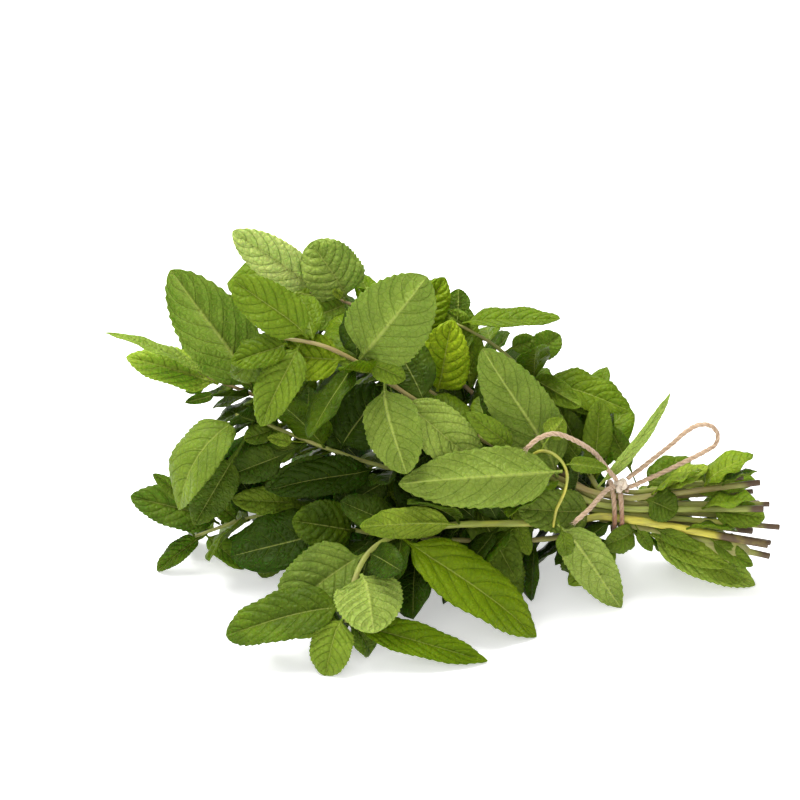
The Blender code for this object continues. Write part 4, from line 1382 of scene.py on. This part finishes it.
class FrontView:
    """A fine net over the front view, which knows where the bunch covers it and where a gap shows."""

    def __init__(self):
        self.covered = np.zeros(NET_SIZE, bool)
        self.inside = self.covered

    def squares(self, points):
        points = np.asarray(points)
        across = (points[:, 0] / NET_SQUARE + NET_SIZE[0] / 2).astype(int)
        up = (points @ np.array(VIEW_UP) / NET_SQUARE + NET_BELOW).astype(int)
        return np.clip(across, 0, NET_SIZE[0] - 1), np.clip(up, 0, NET_SIZE[1] - 1)

    def mark(self, points):
        self.covered[self.squares(points)] = True

    def spread(self, points, along, across):
        """The squares under a leaf's coarse sheet, at that many places along it and across each half."""
        rows = np.array(points[:len(points) // 2]).reshape(-1, 3, 3)
        shares = np.linspace(0, len(rows) - 1, along)
        first = np.minimum(shares.astype(int), len(rows) - 2)
        part = (shares - first)[:, None, None]
        rows = rows[first] * (1 - part) + rows[first + 1] * part
        sides = np.linspace(0, 1, across)[None, :, None]
        halves = [rows[:, i:i + 1] * (1 - sides) + rows[:, i + 1:i + 2] * sides for i in (0, 1)]
        return self.squares(np.concatenate(halves, axis=1).reshape(-1, 3))

    def cover(self, points):
        self.covered[self.spread(points, 90, 24)] = True

    def close_outline(self):
        """Counts as inside each square that has covered ones near it on all four sides."""
        inside = np.ones(NET_SIZE, bool)
        for axis in (0, 1):
            for sign in (1, -1):
                near = np.zeros(NET_SIZE, bool)
                for step in range(GAP_REACH):
                    near |= np.roll(self.covered, sign * step, axis)
                inside &= near
        self.inside = inside

    def judge(self, points):
        """The shares of a leaf that would fill a gap and that would stand outside the outline."""
        squares = self.spread(points, 20, 6)
        return (self.inside & ~self.covered)[squares].mean(), (~self.inside)[squares].mean()

    def gaps(self):
        return np.argwhere(self.inside & ~self.covered)


def make_small_leaves(master, stems, standing, front, groups):
    for number, (owner, place, reach, width, face, arch, tint_and_shade, stalk) in enumerate(SMALL_LEAVES):
        reach = Vector(reach) * MM
        width = width * MM
        held = None
        for shrink, most in ((1.0, 20), (0.9, 30), (0.75, 40)):
            held = held or hold_leaf(
                stems[owner], place, reach * shrink, width * shrink, Vector(face), arch * MM, stalk,
                standing, most,
            )
        if not held:
            continue
        midrib, points, faces = held
        standing.add(points, faces)
        blade = lay_blade(
            master, f"{owner}_small_{number}", midrib, width, tint_and_shade, 0.3, 200 + number,
            {"stalk": stalk, "teeth": 11, "wave": 1.3},
        )
        front.cover(points)
        groups.setdefault(owner, []).append(blade)


class Filling:
    """Leaves that grow wherever there is room behind and between the others."""

    def __init__(self, master, stems, standing, front, groups):
        self.master = master
        self.stems = stems
        self.standing = standing
        self.front = front
        self.groups = groups
        self.draw = random.Random(11)
        self.kept = tree_of([name for name in NODES if "_leaf_" in name or name in KEPT_IN_VIEW])
        self.low = np.array(cad_box[0]) - BOX_MARGIN
        self.high = np.array(cad_box[1]) + BOX_MARGIN
        self.high[0] -= CUT_ENDS_BARE
        self.count = 0

    def fits(self, points):
        spread = np.array(points)
        return (spread >= self.low).all() and (spread <= self.high).all()

    def try_leaf(self, owner, place, reach, face):
        """A leaf held at that place, with its width and how much of a gap it fills, or None."""
        width = reach.length * self.draw.uniform(0.50, 0.64)
        arch = reach.length * self.draw.uniform(0.02, 0.12)
        held = hold_leaf(
            self.stems[owner], place, reach, width, face, arch, INNER_STALK, self.standing, 0, self.fits
        )
        if not held:
            return None
        gap, outside = self.front.judge(held[1])
        return held, width, gap, outside

    def grow(self, owner, held, width, tint_and_shade, bloom_and_sheen, wave):
        midrib, points, faces = held
        self.standing.add(points, faces)
        self.count += 1
        form = {"stalk": INNER_STALK, "teeth": INNER_LEAF_SQUARES[1] // 2, "wave": wave}
        name = f"{owner}_inner_{self.count}"
        blade = lay_blade(self.master, name, midrib, width, tint_and_shade, bloom_and_sheen, 400 + self.count, form)
        self.front.cover(points)
        self.groups.setdefault(owner, []).append(blade)

    def shade(self, owner):
        """How light a leaf is: darker in the heart of the bunch, as painted shade, and lighter on its outer
        stems.
        """
        # The darker green of the leaves on the stems in the bunch's heart is painted shade.
        lift = 0.0 if owner in SHADED_HEART_STEMS else 0.35
        return lift + self.draw.uniform(-0.3, 0.2)

    def along_stem(self, owner):
        """Opposite pairs from near the cut end to the tip, each turned from the last."""
        draw = self.draw
        stem = self.stems[owner]
        past = distance_along(stem.points[stem.tie_index:])[-1]
        before = distance_along(stem.points[:stem.tie_index])[-1]
        spot = -before * 0.85
        turn = draw.uniform(0, math.pi)
        while spot < past:
            leafy = spot > 0
            place = spot / past if leafy else spot / before
            _, along, _ = stem.at(place)
            along = along if leafy else -along
            across = along.orthogonal().normalized()
            for side in (0, math.pi):
                best = None
                for _ in range(FILL_TRIES):
                    out = Matrix.Rotation(turn + side + draw.uniform(-0.8, 0.8), 3, along) @ across
                    lean = math.radians(draw.uniform(38, 85) if leafy else draw.uniform(8, 40))
                    length = draw.uniform(0.020, 0.044) if leafy else draw.uniform(0.016, 0.028)
                    reach = (along * math.cos(lean) + out * math.sin(lean) - UP * 0.15).normalized() * length
                    face = along * 0.5 + UP * 0.7 + out * draw.uniform(-0.3, 0.3)
                    tried = self.try_leaf(owner, place, reach, face)
                    if not tried:
                        continue
                    held, width, gap, outside = tried
                    if leafy and (outside > MOST_OUTSIDE or best and gap <= best[2]):
                        continue
                    if not hides_little(held[1], self.kept):
                        continue
                    best = held, width, gap
                    if not leafy:
                        break
                if best and leafy:
                    self.grow(owner, *best[:2], self.shade(owner), draw.uniform(0.0, 0.2), 1.0)
                elif best and draw.random() < CUT_END_LEAVES:
                    self.grow(owner, *best[:2], draw.uniform(0.2, 0.9), draw.uniform(0.1, 0.6), 2.2)
            turn += math.pi / 2 + draw.uniform(-0.3, 0.3)
            spot += draw.uniform(0.007, 0.010)

    def towards_gaps(self):
        """Leaves that reach from the nearest stems to the gaps that still show in the front view."""
        draw = self.draw
        places = [
            (owner, place, stem.at(place)[0]) for owner, stem in self.stems.items() if owner != "side_shoot"
            for place in np.linspace(0.05, 1.0, 24)
        ]
        flat = np.array([(middle.x, middle.dot(VIEW_UP)) for _, _, middle in places])
        for _ in range(GAP_ROUNDS):
            gaps = self.front.gaps()
            if len(gaps) < GAP_LEFT:
                break
            square = gaps[draw.randrange(len(gaps))]
            aim = (square - np.array([NET_SIZE[0] / 2, NET_BELOW]) + 0.5) * NET_SQUARE
            away = np.linalg.norm(flat - aim, axis=1)
            near = np.argsort(np.abs(away - 0.016))[:24]
            best = None
            for _ in range(GAP_TRIES):
                index = near[draw.randrange(len(near))]
                owner, place, middle = places[index]
                step = aim - flat[index]
                reach = RIGHT * step[0] + VIEW_UP * step[1] + TOWARDS_VIEWER * draw.uniform(-0.014, 0.010)
                reach = reach.normalized() * min(0.044, max(0.018, reach.length * draw.uniform(1.2, 1.8)))
                face = TOWARDS_VIEWER + UP * 0.6 + RIGHT * draw.uniform(-0.5, 0.5)
                tried = self.try_leaf(owner, place, reach, face)
                if not tried:
                    continue
                held, width, gap, outside = tried
                if gap < GAP_SHARE or outside > GAP_OUTSIDE or best and gap <= best[3]:
                    continue
                if not hides_little(held[1], self.kept):
                    continue
                best = owner, held, width, gap
            if best:
                self.grow(*best[:3], self.shade(best[0]), draw.uniform(0.0, 0.2), 1.2)


def make_twine():
    material = jute()
    cords = make_cords(material)
    binding = make_binding(material)
    knot = make_knot(material)
    make_fibres([(path, 34) for path in cords] + [(binding, 60), (knot, 20)], cords[:2], material)


def make_stems():
    skin = stem_skin()
    face = cut_face()
    stems = {}
    names = sorted(name for name in NODES if name.endswith("_stem") or name == "side_shoot")
    for number, name in enumerate(names):
        rings = SHOOT_RINGS if name == "side_shoot" else STEM_RINGS
        stems[name] = make_stem(name, rings, skin, face, number + 1)
    return stems


def make_large_leaves(stems):
    master = model_blade("blade_pattern", *LARGE_LEAF_SQUARES)
    make_leaves(master, stems)
    bpy.data.objects.remove(master)


def plain_solids():
    """The search trees of all the plain solids, which the small leaves keep clear of."""
    standing = Standing()
    for node in NODES.values():
        faces = [tuple(face.vertices) for face in node.data.polygons]
        standing.add([corner.co.copy() for corner in node.data.vertices], faces)
    return standing


def view_of_large_pieces(stems):
    front = FrontView()
    for thing in bpy.data.objects:
        if thing.name.endswith("_blade"):
            front.mark(points_of(thing))
    for stem in stems.values():
        front.mark(smooth_route(stem.points, NET_SQUARE / 2))
    return front


def fill_in(stems):
    """The small leaves, and then the inner ones, joined into one piece for each stem."""
    standing = plain_solids()
    small = model_blade("small_blade_pattern", *SMALL_LEAF_SQUARES)
    inner = model_blade("inner_blade_pattern", *INNER_LEAF_SQUARES)
    front = view_of_large_pieces(stems)
    groups = {}
    make_small_leaves(small, stems, standing, front, groups)
    front.close_outline()
    filling = Filling(inner, stems, standing, front, groups)
    for owner in sorted(stems):
        if owner != "side_shoot":
            filling.along_stem(owner)
    filling.towards_gaps()
    bpy.data.objects.remove(small)
    bpy.data.objects.remove(inner)
    for owner, blades in groups.items():
        finish_leaf(join(blades, owner.removesuffix("_stem") + "_small_leaves"))


place_camera()
make_twine()
stems = make_stems()
make_large_leaves(stems)
fill_in(stems)
lay_floor()
light_studio()
